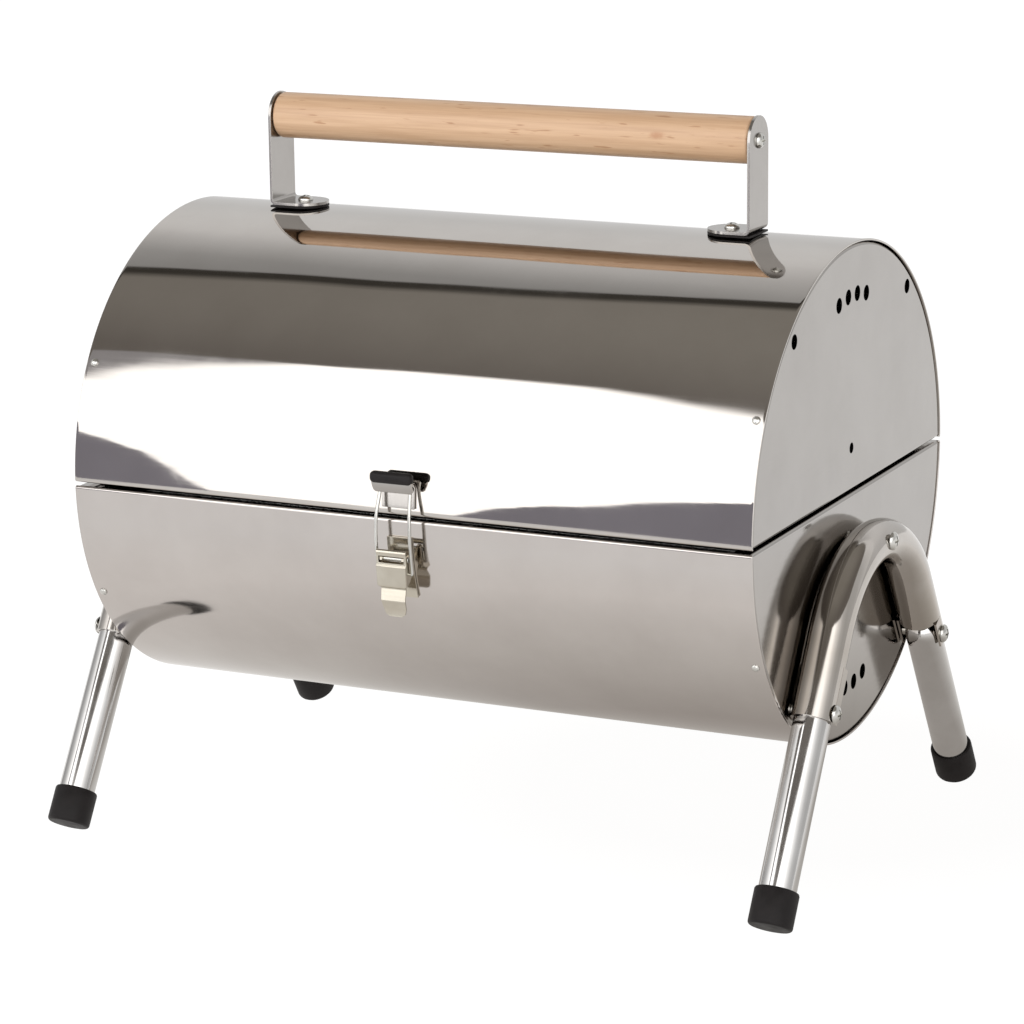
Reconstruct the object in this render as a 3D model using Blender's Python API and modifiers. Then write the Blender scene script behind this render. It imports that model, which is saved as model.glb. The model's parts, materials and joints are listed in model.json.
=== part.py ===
"""Portable barrel charcoal grill: two hinged half barrels on folding tube legs.

Metres, +Z up. X runs along the barrel, -Y is the front, and the origin is the floor under the centre.
"""

import math

import bmesh
import bpy
from mathutils import Vector

# Barrel
BARREL_LENGTH = 0.375
HALF_DEPTH = 0.135
HALF_HEIGHT = 0.128
PARTING_Z = 0.190
HALF_PARTING_GAP = 0.001
SHEET = 0.001
GAP = 0.0003
LIP = 0.005
FLANGE, FLANGE_GAP = 0.010, 0.0005
PLATE_RECESS = 0.0005
ARC_STEPS = 44

# Holes in every end plate, as distances from the parting plane
VENT_RADIUS = 0.004
VENTS = ((0.0064, 0.101), (0.0193, 0.099))
PIVOT_Y, PIVOT_DROP = 0.080, 0.092
APEX_DROP = 0.023
PIVOT_HOLE, APEX_HOLE = 0.0038, 0.0028
RIVET_DROP, RIVET_INSET = 0.061, 0.0045
RIVET_RADIUS, RIVET_HOLE = 0.0012, 0.0015

# Legs and arches
LEG_LEAN = math.radians(32)
TUBE_RADIUS, TUBE_BORE = 0.011, 0.0098
ARCH_STANDOFF = 0.0005
ARCH_BEND = 0.069
ARCH_CENTRE_DROP = 0.094
SLEEVE_TAIL = 0.0045
SLOT_LENGTH = {"front": 0.024, "rear": 0.012}
SLOT_HALF_WIDTH = 0.00985
CHEEK_DEPTH, CHEEK_THICK = 0.0085, 0.0014
DRILL_REACH = 0.02
LEG_RADIUS, LEG_WALL = 0.0095, 0.0012
CAP_RADIUS, CAP_LENGTH, CAP_FLOOR = 0.0112, 0.019, 0.0025
FLOOR_CUT = 0.0008
BOLT_RADIUS, BOLT_HOLE = 0.003, 0.0033
APEX_BOLT = 0.0025
HEAD_RADIUS, HEAD_RISE = 0.0048, 0.0024
BOLT_GRIP = 2 * TUBE_RADIUS + 0.009

# Handle
HANDLE_Z = 0.366
BAR_RADIUS = 0.012
BRACKET_X, BRACKET_THICK, BRACKET_WIDTH = 0.1365, 0.0015, 0.025
FOOT_LENGTH, PAD_THICK = 0.027, 0.001
WOOD_SCREW, SCREW_HOLE = 0.002, 0.0023
END_SCREW_LENGTH, FOOT_SCREW_LENGTH, SCREW_HEAD = 0.022, 0.012, 0.004

# Hinges at the back
HINGE_X = 0.110
KNUCKLE_RADIUS, PIN_RADIUS, PIN_HOLE = 0.003, 0.0014, 0.0016
HINGE_Y = HALF_DEPTH + GAP + KNUCKLE_RADIUS
LEAF_HEIGHT, LEAF_HALF_WIDTH, MIDDLE_KNUCKLE = 0.022, 0.016, 0.007

# Latch at the front: distances out from the barrel's middle, and heights from the parting plane
LATCH_SHEET = 0.0012
LEVER_OUT, LEVER_Z = 0.1415, -0.0195
BAIL_OUT, BAIL_Z = 0.1405, -0.027
LEVER_HALF_WIDTH = 0.0082
EAR_X, EAR_RADIUS = 0.0066, 0.0027
BAIL_WIRE = 0.0009
CATCH_OUT, CATCH_Z = 0.1386, 0.019
PIVOT_WIRE = 0.0015
WEB = 0.00001

# Grates
GRATE_HALF_LENGTH, GRATE_HALF_WIDTH, GRATE_THICK = 0.1745, 0.128, 0.003
GRATE_DROP, COAL_DROP = 0.008, 0.084
COAL_HALF_LENGTH, COAL_HALF_WIDTH, COAL_THICK = 0.1765, 0.0984, 0.0015
RAIL_DEPTH, RAIL_HALF_LENGTH, RAIL_SHEET = 0.018, 0.090, 0.0012
RAIL_LIP, RAIL_WEB = 0.016, 0.006

PLATE_FACE = BARREL_LENGTH / 2 - PLATE_RECESS
ARCH_X = PLATE_FACE + ARCH_STANDOFF + TUBE_RADIUS
LID_TOP = PARTING_Z + HALF_HEIGHT
SIDES = (("left", -1), ("right", 1))
ENDS = (("front", -1), ("rear", 1))


def clear_scene():
    for old in list(bpy.data.objects):
        bpy.data.objects.remove(old, do_unlink=True)


def new_collection(name):
    made = bpy.data.collections.new(name)
    bpy.context.scene.collection.children.link(made)
    return made


def new_material(name, colour, roughness, metallic):
    made = bpy.data.materials.new(name)
    made.use_nodes = True
    shader = made.node_tree.nodes["Principled BSDF"]
    shader.inputs["Base Color"].default_value = (*colour, 1)
    shader.inputs["Roughness"].default_value = roughness
    shader.inputs["Metallic"].default_value = metallic
    made.diffuse_color = (*colour, 1)
    return made


clear_scene()
PARTS = new_collection("barrel_charcoal_grill")
CUTTERS = new_collection("cutters")
CUTTERS.hide_render = True
STEEL = new_material("polished_steel", (0.72, 0.70, 0.68), 0.12, 1)
CHROME = new_material("chromed_tube", (0.80, 0.80, 0.80), 0.08, 1)
ZINC = new_material("plated_steel", (0.72, 0.70, 0.62), 0.25, 1)
WIRE = new_material("chromed_wire", (0.75, 0.75, 0.75), 0.2, 1)
WOOD = new_material("beech", (0.80, 0.58, 0.38), 0.5, 0)
BLACK = new_material("black_plastic", (0.02, 0.02, 0.02), 0.55, 0)


def add(name, data, material=None):
    """A new object: a part if it has a material, otherwise a cutter."""
    made = bpy.data.objects.new(name, data)
    if material:
        data.materials.append(material)
        PARTS.objects.link(made)
    else:
        CUTTERS.objects.link(made)
        made.hide_render = True
        made.display_type = "WIRE"
    return made


def mesh_of(bm, name):
    data = bpy.data.meshes.new(name)
    bm.to_mesh(data)
    bm.free()
    return data


def smooth(part, degrees=35):
    part.data.shade_smooth()
    part.data.set_sharp_from_angle(angle=math.radians(degrees))


def box(name, low, high, material=None):
    size = Vector(high) - Vector(low)
    bm = bmesh.new()
    bmesh.ops.create_cube(bm, size=1)
    bmesh.ops.scale(bm, vec=size, verts=bm.verts)
    made = add(name, mesh_of(bm, name), material)
    made.location = (Vector(high) + Vector(low)) / 2
    return made


def cylinders(name, rods, material=None, sides=16):
    """Straight rods, each (start, end, radius), as one mesh in world places."""
    bm = bmesh.new()
    for start, end, radius in rods:
        along = Vector(end) - Vector(start)
        made = bmesh.ops.create_cone(
            bm, cap_ends=True, segments=sides, radius1=radius, radius2=radius, depth=along.length
        )
        bmesh.ops.rotate(bm, verts=made["verts"], matrix=along.to_track_quat("Z", "Y").to_matrix())
        bmesh.ops.translate(bm, verts=made["verts"], vec=(Vector(start) + Vector(end)) / 2)
    return add(name, mesh_of(bm, name), material)


def turned(name, profile, material, steps=20):
    """A solid turned about its Z axis from a profile that runs down its outer side."""
    bm = bmesh.new()
    points = [bm.verts.new((radius, 0, z)) for radius, z in profile]
    for a, b in zip(points, points[1:]):
        bm.edges.new((a, b))
    made = add(name, mesh_of(bm, name), material)
    screw = made.modifiers.new("turn", "SCREW")
    screw.steps = steps
    screw.render_steps = steps
    screw.use_merge_vertices = True
    screw.merge_threshold = 0.00001
    screw.use_smooth_shade = True
    return made


def tube(name, points, radius, material=None, resolution=6):
    """A round tube or wire along points in world places, as a welded mesh."""
    data = bpy.data.curves.new(name, "CURVE")
    data.dimensions = "3D"
    data.bevel_depth = radius
    data.bevel_resolution = resolution
    data.use_fill_caps = True
    spline = data.splines.new("POLY")
    spline.points.add(len(points) - 1)
    for target, point in zip(spline.points, points):
        target.co = (*point, 1)
    return as_mesh(name, data, material)


def plate(name, outlines, thickness, material=None):
    """A flat plate in its own XY plane. The outlines after the first are its holes."""
    data = bpy.data.curves.new(name, "CURVE")
    data.dimensions = "2D"
    data.fill_mode = "BOTH"
    data.extrude = thickness / 2
    for outline in outlines:
        spline = data.splines.new("POLY")
        spline.points.add(len(outline) - 1)
        spline.use_cyclic_u = True
        for target, (u, v) in zip(spline.points, outline):
            target.co = (u, v, 0, 1)
    return as_mesh(name, data, material)


def as_mesh(name, data, material):
    guide = bpy.data.objects.new(name + "_curve", data)
    CUTTERS.objects.link(guide)
    graph = bpy.context.evaluated_depsgraph_get()
    mesh = bpy.data.meshes.new_from_object(guide.evaluated_get(graph))
    bpy.data.objects.remove(guide)
    bm = bmesh.new()
    bm.from_mesh(mesh)
    bmesh.ops.remove_doubles(bm, verts=bm.verts, dist=0.00001)
    bmesh.ops.recalc_face_normals(bm, faces=bm.faces)
    bm.to_mesh(mesh)
    bm.free()
    mesh.name = name
    return add(name, mesh, material)


def combine(part, other, operation="DIFFERENCE"):
    step = part.modifiers.new(other.name, "BOOLEAN")
    step.operation = operation
    step.object = other


def join(part, other):
    combine(part, other, "UNION")


def empty(name, place, turn=(0, 0, 0)):
    made = bpy.data.objects.new(name, None)
    PARTS.objects.link(made)
    made.location = place
    made.rotation_euler = turn
    return made


def hang(parts, axis):
    """Parents parts to the empty on their joint's axis, and leaves them where they are."""
    for part in parts:
        part.parent = axis
        part.location = part.location - axis.location


def rectangle(low_u, low_v, high_u, high_v):
    return [(low_u, low_v), (high_u, low_v), (high_u, high_v), (low_u, high_v)]


def arc(centre, radius, start, end, steps):
    """Points on an arc between two angles in degrees."""
    turns = [math.radians(start + (end - start) * i / steps) for i in range(steps + 1)]
    return [(centre[0] + radius * math.cos(t), centre[1] + radius * math.sin(t)) for t in turns]


def barrel_out(rise, offset=0.0):
    """How far out from the middle the barrel's outer face, moved out by offset, is at a height."""
    return (HALF_DEPTH + offset) * math.sqrt(1 - (rise / (HALF_HEIGHT + offset)) ** 2)


def half_ellipse(offset, up):
    """(y, z) points from the front parting edge round to the rear one, up (1) or down (-1)."""
    deep, high = HALF_DEPTH + offset, HALF_HEIGHT + offset
    start = math.asin(HALF_PARTING_GAP / high)
    span = math.pi - 2 * start
    turns = [start + span * i / ARC_STEPS for i in range(ARC_STEPS + 1)]
    return [(-deep * math.cos(t), PARTING_Z + up * high * math.sin(t)) for t in turns]


def rivet_spots(up):
    """(x, y, z, outward normal) of each rivet of one half barrel, on its outer face."""
    spots = {}
    for side_name, side in SIDES:
        for end_name, end in ENDS:
            y = end * barrel_out(RIVET_DROP)
            normal = Vector((0, y / HALF_DEPTH**2, up * RIVET_DROP / HALF_HEIGHT**2)).normalized()
            x = side * (BARREL_LENGTH / 2 - RIVET_INSET)
            spots[f"{side_name}_{end_name}"] = (Vector((x, y, PARTING_Z + up * RIVET_DROP)), normal)
    return spots


def thicken(part, thickness):
    shell = part.modifiers.new("sheet", "SOLIDIFY")
    shell.thickness = thickness
    shell.offset = -1
    shell.use_even_offset = True


def barrel_shell(name, up, holes):
    """A half barrel of sheet, whose parting edges turn in as a lip between the end plates."""
    wall = half_ellipse(0, up)
    half, inner = BARREL_LENGTH / 2, BARREL_LENGTH / 2 - FLANGE - 0.002
    bm = bmesh.new()
    columns = []
    for x in (-half, -inner, inner, half):
        columns.append([bm.verts.new((x, y, z)) for y, z in wall])
    lips = []
    for x in (-inner, inner):
        lips.append([bm.verts.new((x, end * (HALF_DEPTH - LIP), wall[0][1])) for _, end in ENDS])
    faces = []
    for a, b in zip(columns, columns[1:]):
        faces += [(a[i], b[i], b[i + 1], a[i + 1]) for i in range(ARC_STEPS)]
    faces.append((lips[0][0], lips[1][0], columns[2][0], columns[1][0]))
    faces.append((columns[1][-1], columns[2][-1], lips[1][1], lips[0][1]))
    for face in faces:
        bm.faces.new(face if up > 0 else face[::-1])
    part = add(name, mesh_of(bm, name), STEEL)
    thicken(part, SHEET)
    combine(part, cylinders(name + "_holes", holes, sides=12))
    smooth(part)
    return part


def rivet_holes(up):
    depth = 0.006
    return [(at + n * depth, at - n * depth, RIVET_HOLE) for at, n in rivet_spots(up).values()]


def end_plate(name, side, up):
    """A pressed pan: a flat half-oval plate with a flange all round that lies inside the shell."""
    outline = half_ellipse(-SHEET - FLANGE_GAP, up)
    bm = bmesh.new()
    face_x, back_x = side * PLATE_FACE, side * (PLATE_FACE - FLANGE)
    front = [bm.verts.new((face_x, y, z)) for y, z in outline]
    back = [bm.verts.new((back_x, y, z)) for y, z in outline]
    flip = side * up < 0
    faces = [front]
    count = len(outline)
    for i in range(count):
        j = (i + 1) % count
        faces.append([front[j], front[i], back[i], back[j]])
    for face in faces:
        bm.faces.new(face if flip else face[::-1])
    part = add(name, mesh_of(bm, name), STEEL)
    thicken(part, SHEET)
    drilled = [(y, drop, VENT_RADIUS) for y, drop in VENTS]
    drilled.append((PIVOT_Y, PIVOT_DROP, PIVOT_HOLE))
    rods = []
    for y, drop, radius in drilled:
        for end in (-1, 1):
            rods.append((end * y, drop, radius))
    rods.append((0, APEX_DROP, APEX_HOLE))
    low, high = PLATE_FACE - 0.005, PLATE_FACE + 0.005
    holes = [
        ((side * low, y, PARTING_Z + up * d), (side * high, y, PARTING_Z + up * d), r)
        for y, d, r in rods
    ]
    combine(part, cylinders(name + "_holes", holes, sides=12))
    combine(part, cylinders(name + "_rivet_holes", rivet_holes(up), sides=12))
    smooth(part)
    return part


def rivets(prefix, up):
    made = []
    for spot, (at, normal) in rivet_spots(up).items():
        head, neck = 0.0021, 0.0003
        tail = 2 * SHEET + FLANGE_GAP + 2 * neck
        profile = [(0, 0.0014), (0.0014, 0.0010), (head, neck), (RIVET_RADIUS, neck)]
        profile += [(RIVET_RADIUS, -tail), (head * 0.9, -tail), (head * 0.9, -tail - 0.0008)]
        profile.append((0, -tail - 0.0008))
        rivet = turned(f"{prefix}_rivet_{spot}", profile, ZINC, 10)
        rivet.location = at
        rivet.rotation_mode = "QUATERNION"
        rivet.rotation_quaternion = normal.to_track_quat("Z", "Y")
        made.append(rivet)
    return made


def slotted(half_length, half_width, rows, fields, rail, bar):
    """Outlines of a flat grid: its frame, then the slots between its bars and cross bars."""
    outlines = [rectangle(-half_length, -half_width, half_length, half_width)]
    row = (2 * (half_width - rail) + bar) / rows
    field = (2 * (half_length - rail) + rail) / fields
    for i in range(rows):
        low = -half_width + rail + i * row
        for j in range(fields):
            left = -half_length + rail + j * field
            outlines.append(rectangle(left, low, left + field - rail, low + row - bar))
    return outlines


def grates(prefix, up):
    cooking = slotted(GRATE_HALF_LENGTH, GRATE_HALF_WIDTH, 19, 3, 0.004, 0.003)
    upper = plate(f"{prefix}_cooking_grate", cooking, GRATE_THICK, WIRE)
    upper.location.z = PARTING_Z + up * (GRATE_DROP + GRATE_THICK / 2)
    coal = slotted(COAL_HALF_LENGTH, COAL_HALF_WIDTH, 8, 4, 0.010, 0.010)
    lower = plate(f"{prefix}_charcoal_grate", coal, COAL_THICK, WIRE)
    lower.location.z = PARTING_Z + up * (COAL_DROP + COAL_THICK / 2)
    return [upper, lower]


def grate_rail(name, side, up):
    """A bracket on the end plate. The lid's is a channel, which also holds its grate upside down."""
    back, thick = PLATE_FACE - SHEET - GAP, RAIL_SHEET
    shelf = GRATE_DROP + GRATE_THICK + GAP
    under, keeper = shelf + thick, GRATE_DROP - GAP
    web = [(back, shelf + RAIL_WEB)]
    if up > 0:
        web += [(back, keeper - thick), (back - RAIL_LIP, keeper - thick), (back - RAIL_LIP, keeper)]
        web += [(back - thick, keeper), (back - thick, shelf)]
    else:
        web.append((back, shelf))
    web += [(back - RAIL_DEPTH, shelf), (back - RAIL_DEPTH, under), (back - thick, under)]
    web.append((back - thick, shelf + RAIL_WEB))
    outline = [(side * x, PARTING_Z + up * rise) for x, rise in web]
    rail = plate(name, [outline], 2 * RAIL_HALF_LENGTH, STEEL)
    rail.rotation_euler = (math.radians(90), 0, 0)
    return rail


def leg_frame(end):
    """The pivot's (y, z) and the leg's downward and inward directions at the front (-1) or rear (1)."""
    down = Vector((0, end * math.sin(LEG_LEAN), -math.cos(LEG_LEAN)))
    inward = Vector((0, -end * math.cos(LEG_LEAN), -math.sin(LEG_LEAN)))
    return Vector((0, end * PIVOT_Y, PARTING_Z - PIVOT_DROP)), down, inward


def arch_path(tail):
    """The arch's centreline, front sleeve to rear sleeve, with tail past each pivot."""
    centre_z = PARTING_Z - ARCH_CENTRE_DROP
    bend_end = math.degrees(LEG_LEAN)
    bend = arc((0, centre_z), ARCH_BEND, 180 - bend_end, bend_end, 14)
    curve = [Vector((0, y, z)) for y, z in bend]
    front, front_down, _ = leg_frame(-1)
    rear, rear_down, _ = leg_frame(1)
    return [front + front_down * tail, *curve, rear + rear_down * tail]


def turned_box(name, centre, sizes, end):
    """A cutter or cheek in the sleeve's own directions: sizes are along X, the leg and the inward side."""
    bm = bmesh.new()
    bmesh.ops.create_cube(bm, size=1)
    bmesh.ops.scale(bm, vec=(sizes[0], sizes[2], sizes[1]), verts=bm.verts)
    made = add(name, mesh_of(bm, name))
    made.location = centre
    made.rotation_euler = (end * LEG_LEAN, 0, 0)
    return made


def leg_arch(name, side):
    """A bent tube. Each end is a sleeve, slotted towards the inside of the arch so its leg can fold."""
    shift = Vector((side * ARCH_X, 0, 0))
    arch = tube(name, [p + shift for p in arch_path(SLEEVE_TAIL)], TUBE_RADIUS, CHROME)
    bore = tube(name + "_bore", [p + shift for p in arch_path(0.02)], TUBE_BORE)
    slots = []
    drills = []
    across = Vector((DRILL_REACH, 0, 0))
    for end_name, end in ENDS:
        pivot, down, inward = leg_frame(end)
        place = pivot + shift
        length = SLOT_LENGTH[end_name] + SLEEVE_TAIL
        for hand in (-1, 1):
            middle = place + down * (SLEEVE_TAIL - length / 2) + inward * (CHEEK_DEPTH / 2 - 0.002)
            middle.x += hand * (SLOT_HALF_WIDTH + 0.0005)
            sizes = (CHEEK_THICK, length - 0.0001, CHEEK_DEPTH)
            join(arch, turned_box(f"{name}_{end_name}_cheek_{hand}", middle, sizes, end))
        reach, past = 0.014, 0.01
        length = SLOT_LENGTH[end_name] + past
        middle = place + down * (past - length / 2) + inward * reach / 2
        sizes = (2 * SLOT_HALF_WIDTH, length, reach)
        slots.append(turned_box(f"{name}_{end_name}_slot", middle, sizes, end))
        drills.append((place - across, place + across, BOLT_HOLE))
    combine(arch, bore)
    for slot in slots:
        combine(arch, slot)
    apex = Vector((side * ARCH_X, 0, PARTING_Z - APEX_DROP))
    drills.append((apex - across, apex + across, APEX_HOLE))
    combine(arch, cylinders(name + "_drills", drills, sides=12))
    smooth(arch, 30)
    return arch


def bolt(name, place, side, radius, grip, head_radius=HEAD_RADIUS):
    """A domed bolt along X. Its head is outside, its shank reaches grip inwards."""
    dome = arc((0, 0), 1, 90, 0, 3)
    profile = [(head_radius * across, HEAD_RISE * along) for across, along in dome]
    profile += [(radius, 0), (radius, -grip), (0, -grip)]
    made = turned(name, profile, ZINC, 14)
    made.location = place
    made.rotation_euler = (0, math.radians(side * 90), 0)
    return made


def legs():
    """Each leg with its cap, on an empty at its pivot. The cap's heel is cut flat at the floor."""
    drop = PARTING_Z - PIVOT_DROP
    length = (drop - CAP_RADIUS * math.sin(LEG_LEAN) + FLOOR_CUT) / math.cos(LEG_LEAN)
    tube_end = length - CAP_FLOOR - GAP
    floor = box("below_floor", (-0.3, -0.3, -0.05), (0.3, 0.3, 0))
    inner = LEG_RADIUS - LEG_WALL
    for side_name, side in SIDES:
        for end_name, end in ENDS:
            where = f"{end_name}_{side_name}"
            pivot = Vector((side * ARCH_X, end * PIVOT_Y, drop))
            axis = empty(f"leg_axis_{where}", pivot, (end * LEG_LEAN, 0, 0))
            profile = [(r, z) for r, z in arc((0, 0), LEG_RADIUS, 90, 0, 4)]
            profile += [(LEG_RADIUS, -tube_end), (inner, -tube_end), (inner, 0)]
            profile += [(r, z) for r, z in arc((0, 0), inner, 0, 90, 3)][1:]
            profile[0] = (0, LEG_RADIUS)
            profile[-1] = (0, inner)
            leg = turned(f"leg_tube_{where}", profile, CHROME)
            leg.parent = axis
            across = Vector((DRILL_REACH, 0, 0))
            drill = cylinders(f"leg_drill_{where}", [(pivot - across, pivot + across, BOLT_HOLE)])
            combine(leg, drill)
            top, mouth = length - CAP_LENGTH, LEG_RADIUS + GAP
            cup = [(mouth, -top), (CAP_RADIUS - 0.0008, -top), (CAP_RADIUS, -top - 0.001)]
            cup += [(CAP_RADIUS, -length), (0, -length)]
            cup = [(0, -length + CAP_FLOOR), (mouth, -length + CAP_FLOOR)] + cup
            cap = turned(f"foot_cap_{where}", cup, BLACK)
            cap.parent = axis
            combine(cap, floor)
            head = Vector((side * (ARCH_X + SLOT_HALF_WIDTH + 0.0012 + GAP), pivot.y, pivot.z))
            bolt(f"leg_pivot_bolt_{where}", head, side, BOLT_RADIUS, BOLT_GRIP)


def handle():
    """The wooden bar with its two strip brackets, the pads under them and the screws."""
    bar_half = BRACKET_X - BRACKET_THICK - GAP
    turn = 0.0015
    profile = [(0, bar_half), (BAR_RADIUS - turn, bar_half), (BAR_RADIUS, bar_half - turn)]
    profile += [(BAR_RADIUS, turn - bar_half), (BAR_RADIUS - turn, -bar_half), (0, -bar_half)]
    bar = turned("handle_bar", profile, WOOD, 28)
    bar.location = (0, 0, HANDLE_Z)
    bar.rotation_euler = (0, math.radians(90), 0)
    pilots = [
        ((s * (bar_half + 0.01), 0, HANDLE_Z), (s * (bar_half - 0.022), 0, HANDLE_Z), SCREW_HOLE)
        for _, s in SIDES
    ]
    combine(bar, cylinders("handle_pilot_holes", pilots))
    parts = [bar]
    pad_low = LID_TOP + GAP
    strip_low = pad_low + PAD_THICK + GAP
    half_width = BRACKET_WIDTH / 2
    for side_name, side in SIDES:
        name = f"handle_bracket_{side_name}"
        top = arc((0, HANDLE_Z), half_width, 0, 180, 10)
        outline = [(half_width, strip_low), *top, (-half_width, strip_low)]
        upright = plate(name, [outline], BRACKET_THICK, STEEL)
        upright.rotation_euler = (math.radians(90), 0, math.radians(90))
        upright.location.x = side * (BRACKET_X - BRACKET_THICK / 2)
        inner_end = BRACKET_X - FOOT_LENGTH
        nose = arc((inner_end + half_width, 0), half_width, 90, 270, 10)
        heel = BRACKET_X - 0.0001
        outline = [(heel, half_width), *nose, (heel, -half_width)]
        foot = plate(name + "_foot", [[(side * x, y) for x, y in outline]], BRACKET_THICK)
        foot.location.z = strip_low + BRACKET_THICK / 2 + WEB
        join(upright, foot)
        screw_x = side * (inner_end + half_width)
        drills = [((screw_x, 0, pad_low - 0.03), (screw_x, 0, strip_low + 0.01), SCREW_HOLE)]
        end_face = side * (BRACKET_X + 0.01)
        drills.append(((end_face, 0, HANDLE_Z), (side * (BRACKET_X - 0.01), 0, HANDLE_Z), SCREW_HOLE))
        drill = cylinders(name + "_drills", drills)
        combine(upright, drill)
        outline = [(side * x, y) for x, y in ((BRACKET_X, half_width), *nose, (BRACKET_X, -half_width))]
        pad = plate(f"handle_pad_{side_name}", [outline], PAD_THICK, BLACK)
        pad.location.z = pad_low + PAD_THICK / 2
        combine(pad, drill)
        end_place = Vector((side * (BRACKET_X + GAP), 0, HANDLE_Z))
        screw = (side, WOOD_SCREW, END_SCREW_LENGTH, SCREW_HEAD)
        end_screw = bolt(f"handle_end_screw_{side_name}", end_place, *screw)
        foot_place = (screw_x, 0, strip_low + BRACKET_THICK + GAP)
        screw = (side, WOOD_SCREW, FOOT_SCREW_LENGTH, SCREW_HEAD)
        foot_screw = bolt(f"handle_foot_screw_{side_name}", foot_place, *screw)
        foot_screw.rotation_euler = (0, 0, 0)
        parts += [upright, pad, end_screw, foot_screw]
    return parts


def handle_holes():
    x = BRACKET_X - FOOT_LENGTH + BRACKET_WIDTH / 2
    return [((s * x, 0, LID_TOP - 0.01), (s * x, 0, LID_TOP + 0.01), SCREW_HOLE) for _, s in SIDES]


def wrap(name, half_width, x, low, high, sheet, face, material):
    """A strip of sheet that follows the barrel between two heights, on the front (-1) or rear (1)."""
    steps = 6
    bm = bmesh.new()
    rows = []
    for i in range(steps + 1):
        rise = low + (high - low) * i / steps
        out = face * barrel_out(rise, GAP + sheet)
        rows.append([bm.verts.new((x + w, out, PARTING_Z + rise)) for w in (-half_width, half_width)])
    for a, b in zip(rows, rows[1:]):
        quad = (a[0], a[1], b[1], b[0])
        bm.faces.new(quad if face < 0 else quad[::-1])
    part = add(name, mesh_of(bm, name), material)
    thicken(part, sheet)
    return part


def hinge(side_name, side):
    """A butt hinge: a lower leaf with two outer knuckles, an upper one with the middle knuckle, a pin."""
    x = side * HINGE_X
    axis = Vector((x, HINGE_Y, PARTING_Z))
    along = Vector((1, 0, 0))
    near = 0.0015
    lower = wrap(f"hinge_lower_leaf_{side_name}", LEAF_HALF_WIDTH, x, -LEAF_HEIGHT, -near, SHEET, 1, ZINC)
    upper = wrap(f"hinge_upper_leaf_{side_name}", LEAF_HALF_WIDTH, x, near, LEAF_HEIGHT, SHEET, 1, ZINC)
    outer, split = LEAF_HALF_WIDTH, MIDDLE_KNUCKLE + GAP
    ends = [(axis + along * s * split, axis + along * s * outer, KNUCKLE_RADIUS) for s in (-1, 1)]
    middle = [(axis - along * MIDDLE_KNUCKLE, axis + along * MIDDLE_KNUCKLE, KNUCKLE_RADIUS)]
    bore = cylinders(f"hinge_bore_{side_name}", [(axis - along * 0.03, axis + along * 0.03, PIN_HOLE)])
    reach = KNUCKLE_RADIUS + GAP
    for leaf, knuckles, gaps in (
        (lower, ends, [(-split, split)]),
        (upper, middle, [(-outer - 0.001, -MIDDLE_KNUCKLE), (MIDDLE_KNUCKLE, outer + 0.001)]),
    ):
        for number, (low, high) in enumerate(gaps):
            clearance = box(
                f"{leaf.name}_relief_{number}",
                (x + low, HALF_DEPTH - 0.005, PARTING_Z - reach),
                (x + high, HINGE_Y + reach, PARTING_Z + reach),
            )
            combine(leaf, clearance)
        join(leaf, cylinders(leaf.name + "_knuckles", knuckles))
        combine(leaf, bore)
        smooth(leaf)
    head, neck, half = PIN_RADIUS + 0.0008, LEAF_HALF_WIDTH + GAP, LEAF_HALF_WIDTH + GAP + 0.001
    profile = [(0, half), (head, half), (head, neck), (PIN_RADIUS, neck)]
    profile += [(PIN_RADIUS, -neck), (head, -neck), (head, -half), (0, -half)]
    pin = turned(f"hinge_pin_{side_name}", profile, ZINC, 12)
    pin.location = axis
    pin.rotation_euler = (0, math.radians(90), 0)
    return upper


def cheek(name, outline, x, thickness):
    """A plate across X, from points (distance out to the front, height from the parting plane)."""
    points = [(-out, PARTING_Z + rise) for out, rise in outline]
    made = plate(name, [points], thickness)
    made.rotation_euler = (math.radians(90), 0, math.radians(90))
    made.location.x = x
    return made


def latch_rod(out, rise, half_length, radius):
    return ((-half_length, -out, PARTING_Z + rise), (half_length, -out, PARTING_Z + rise), radius)


def latch_base():
    base = wrap("latch_base", EAR_X, 0, -0.042, -0.010, LATCH_SHEET, -1, ZINC)
    ear_front = arc((LEVER_OUT, LEVER_Z), EAR_RADIUS, -70, 110, 6)
    root = GAP + LATCH_SHEET / 2
    ends = [LEVER_Z - 0.0035, LEVER_Z - 0.010]
    outline = [*[(barrel_out(rise, root), rise) for rise in ends], *ear_front]
    for hand in (-1, 1):
        x = hand * (EAR_X - LATCH_SHEET / 2 - WEB)
        join(base, cheek(f"latch_ear_{hand}", outline, x, LATCH_SHEET))
    hole = latch_rod(LEVER_OUT, LEVER_Z, DRILL_REACH, PIVOT_WIRE + 0.0001)
    combine(base, cylinders("latch_ear_holes", [hole]))
    return base


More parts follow.
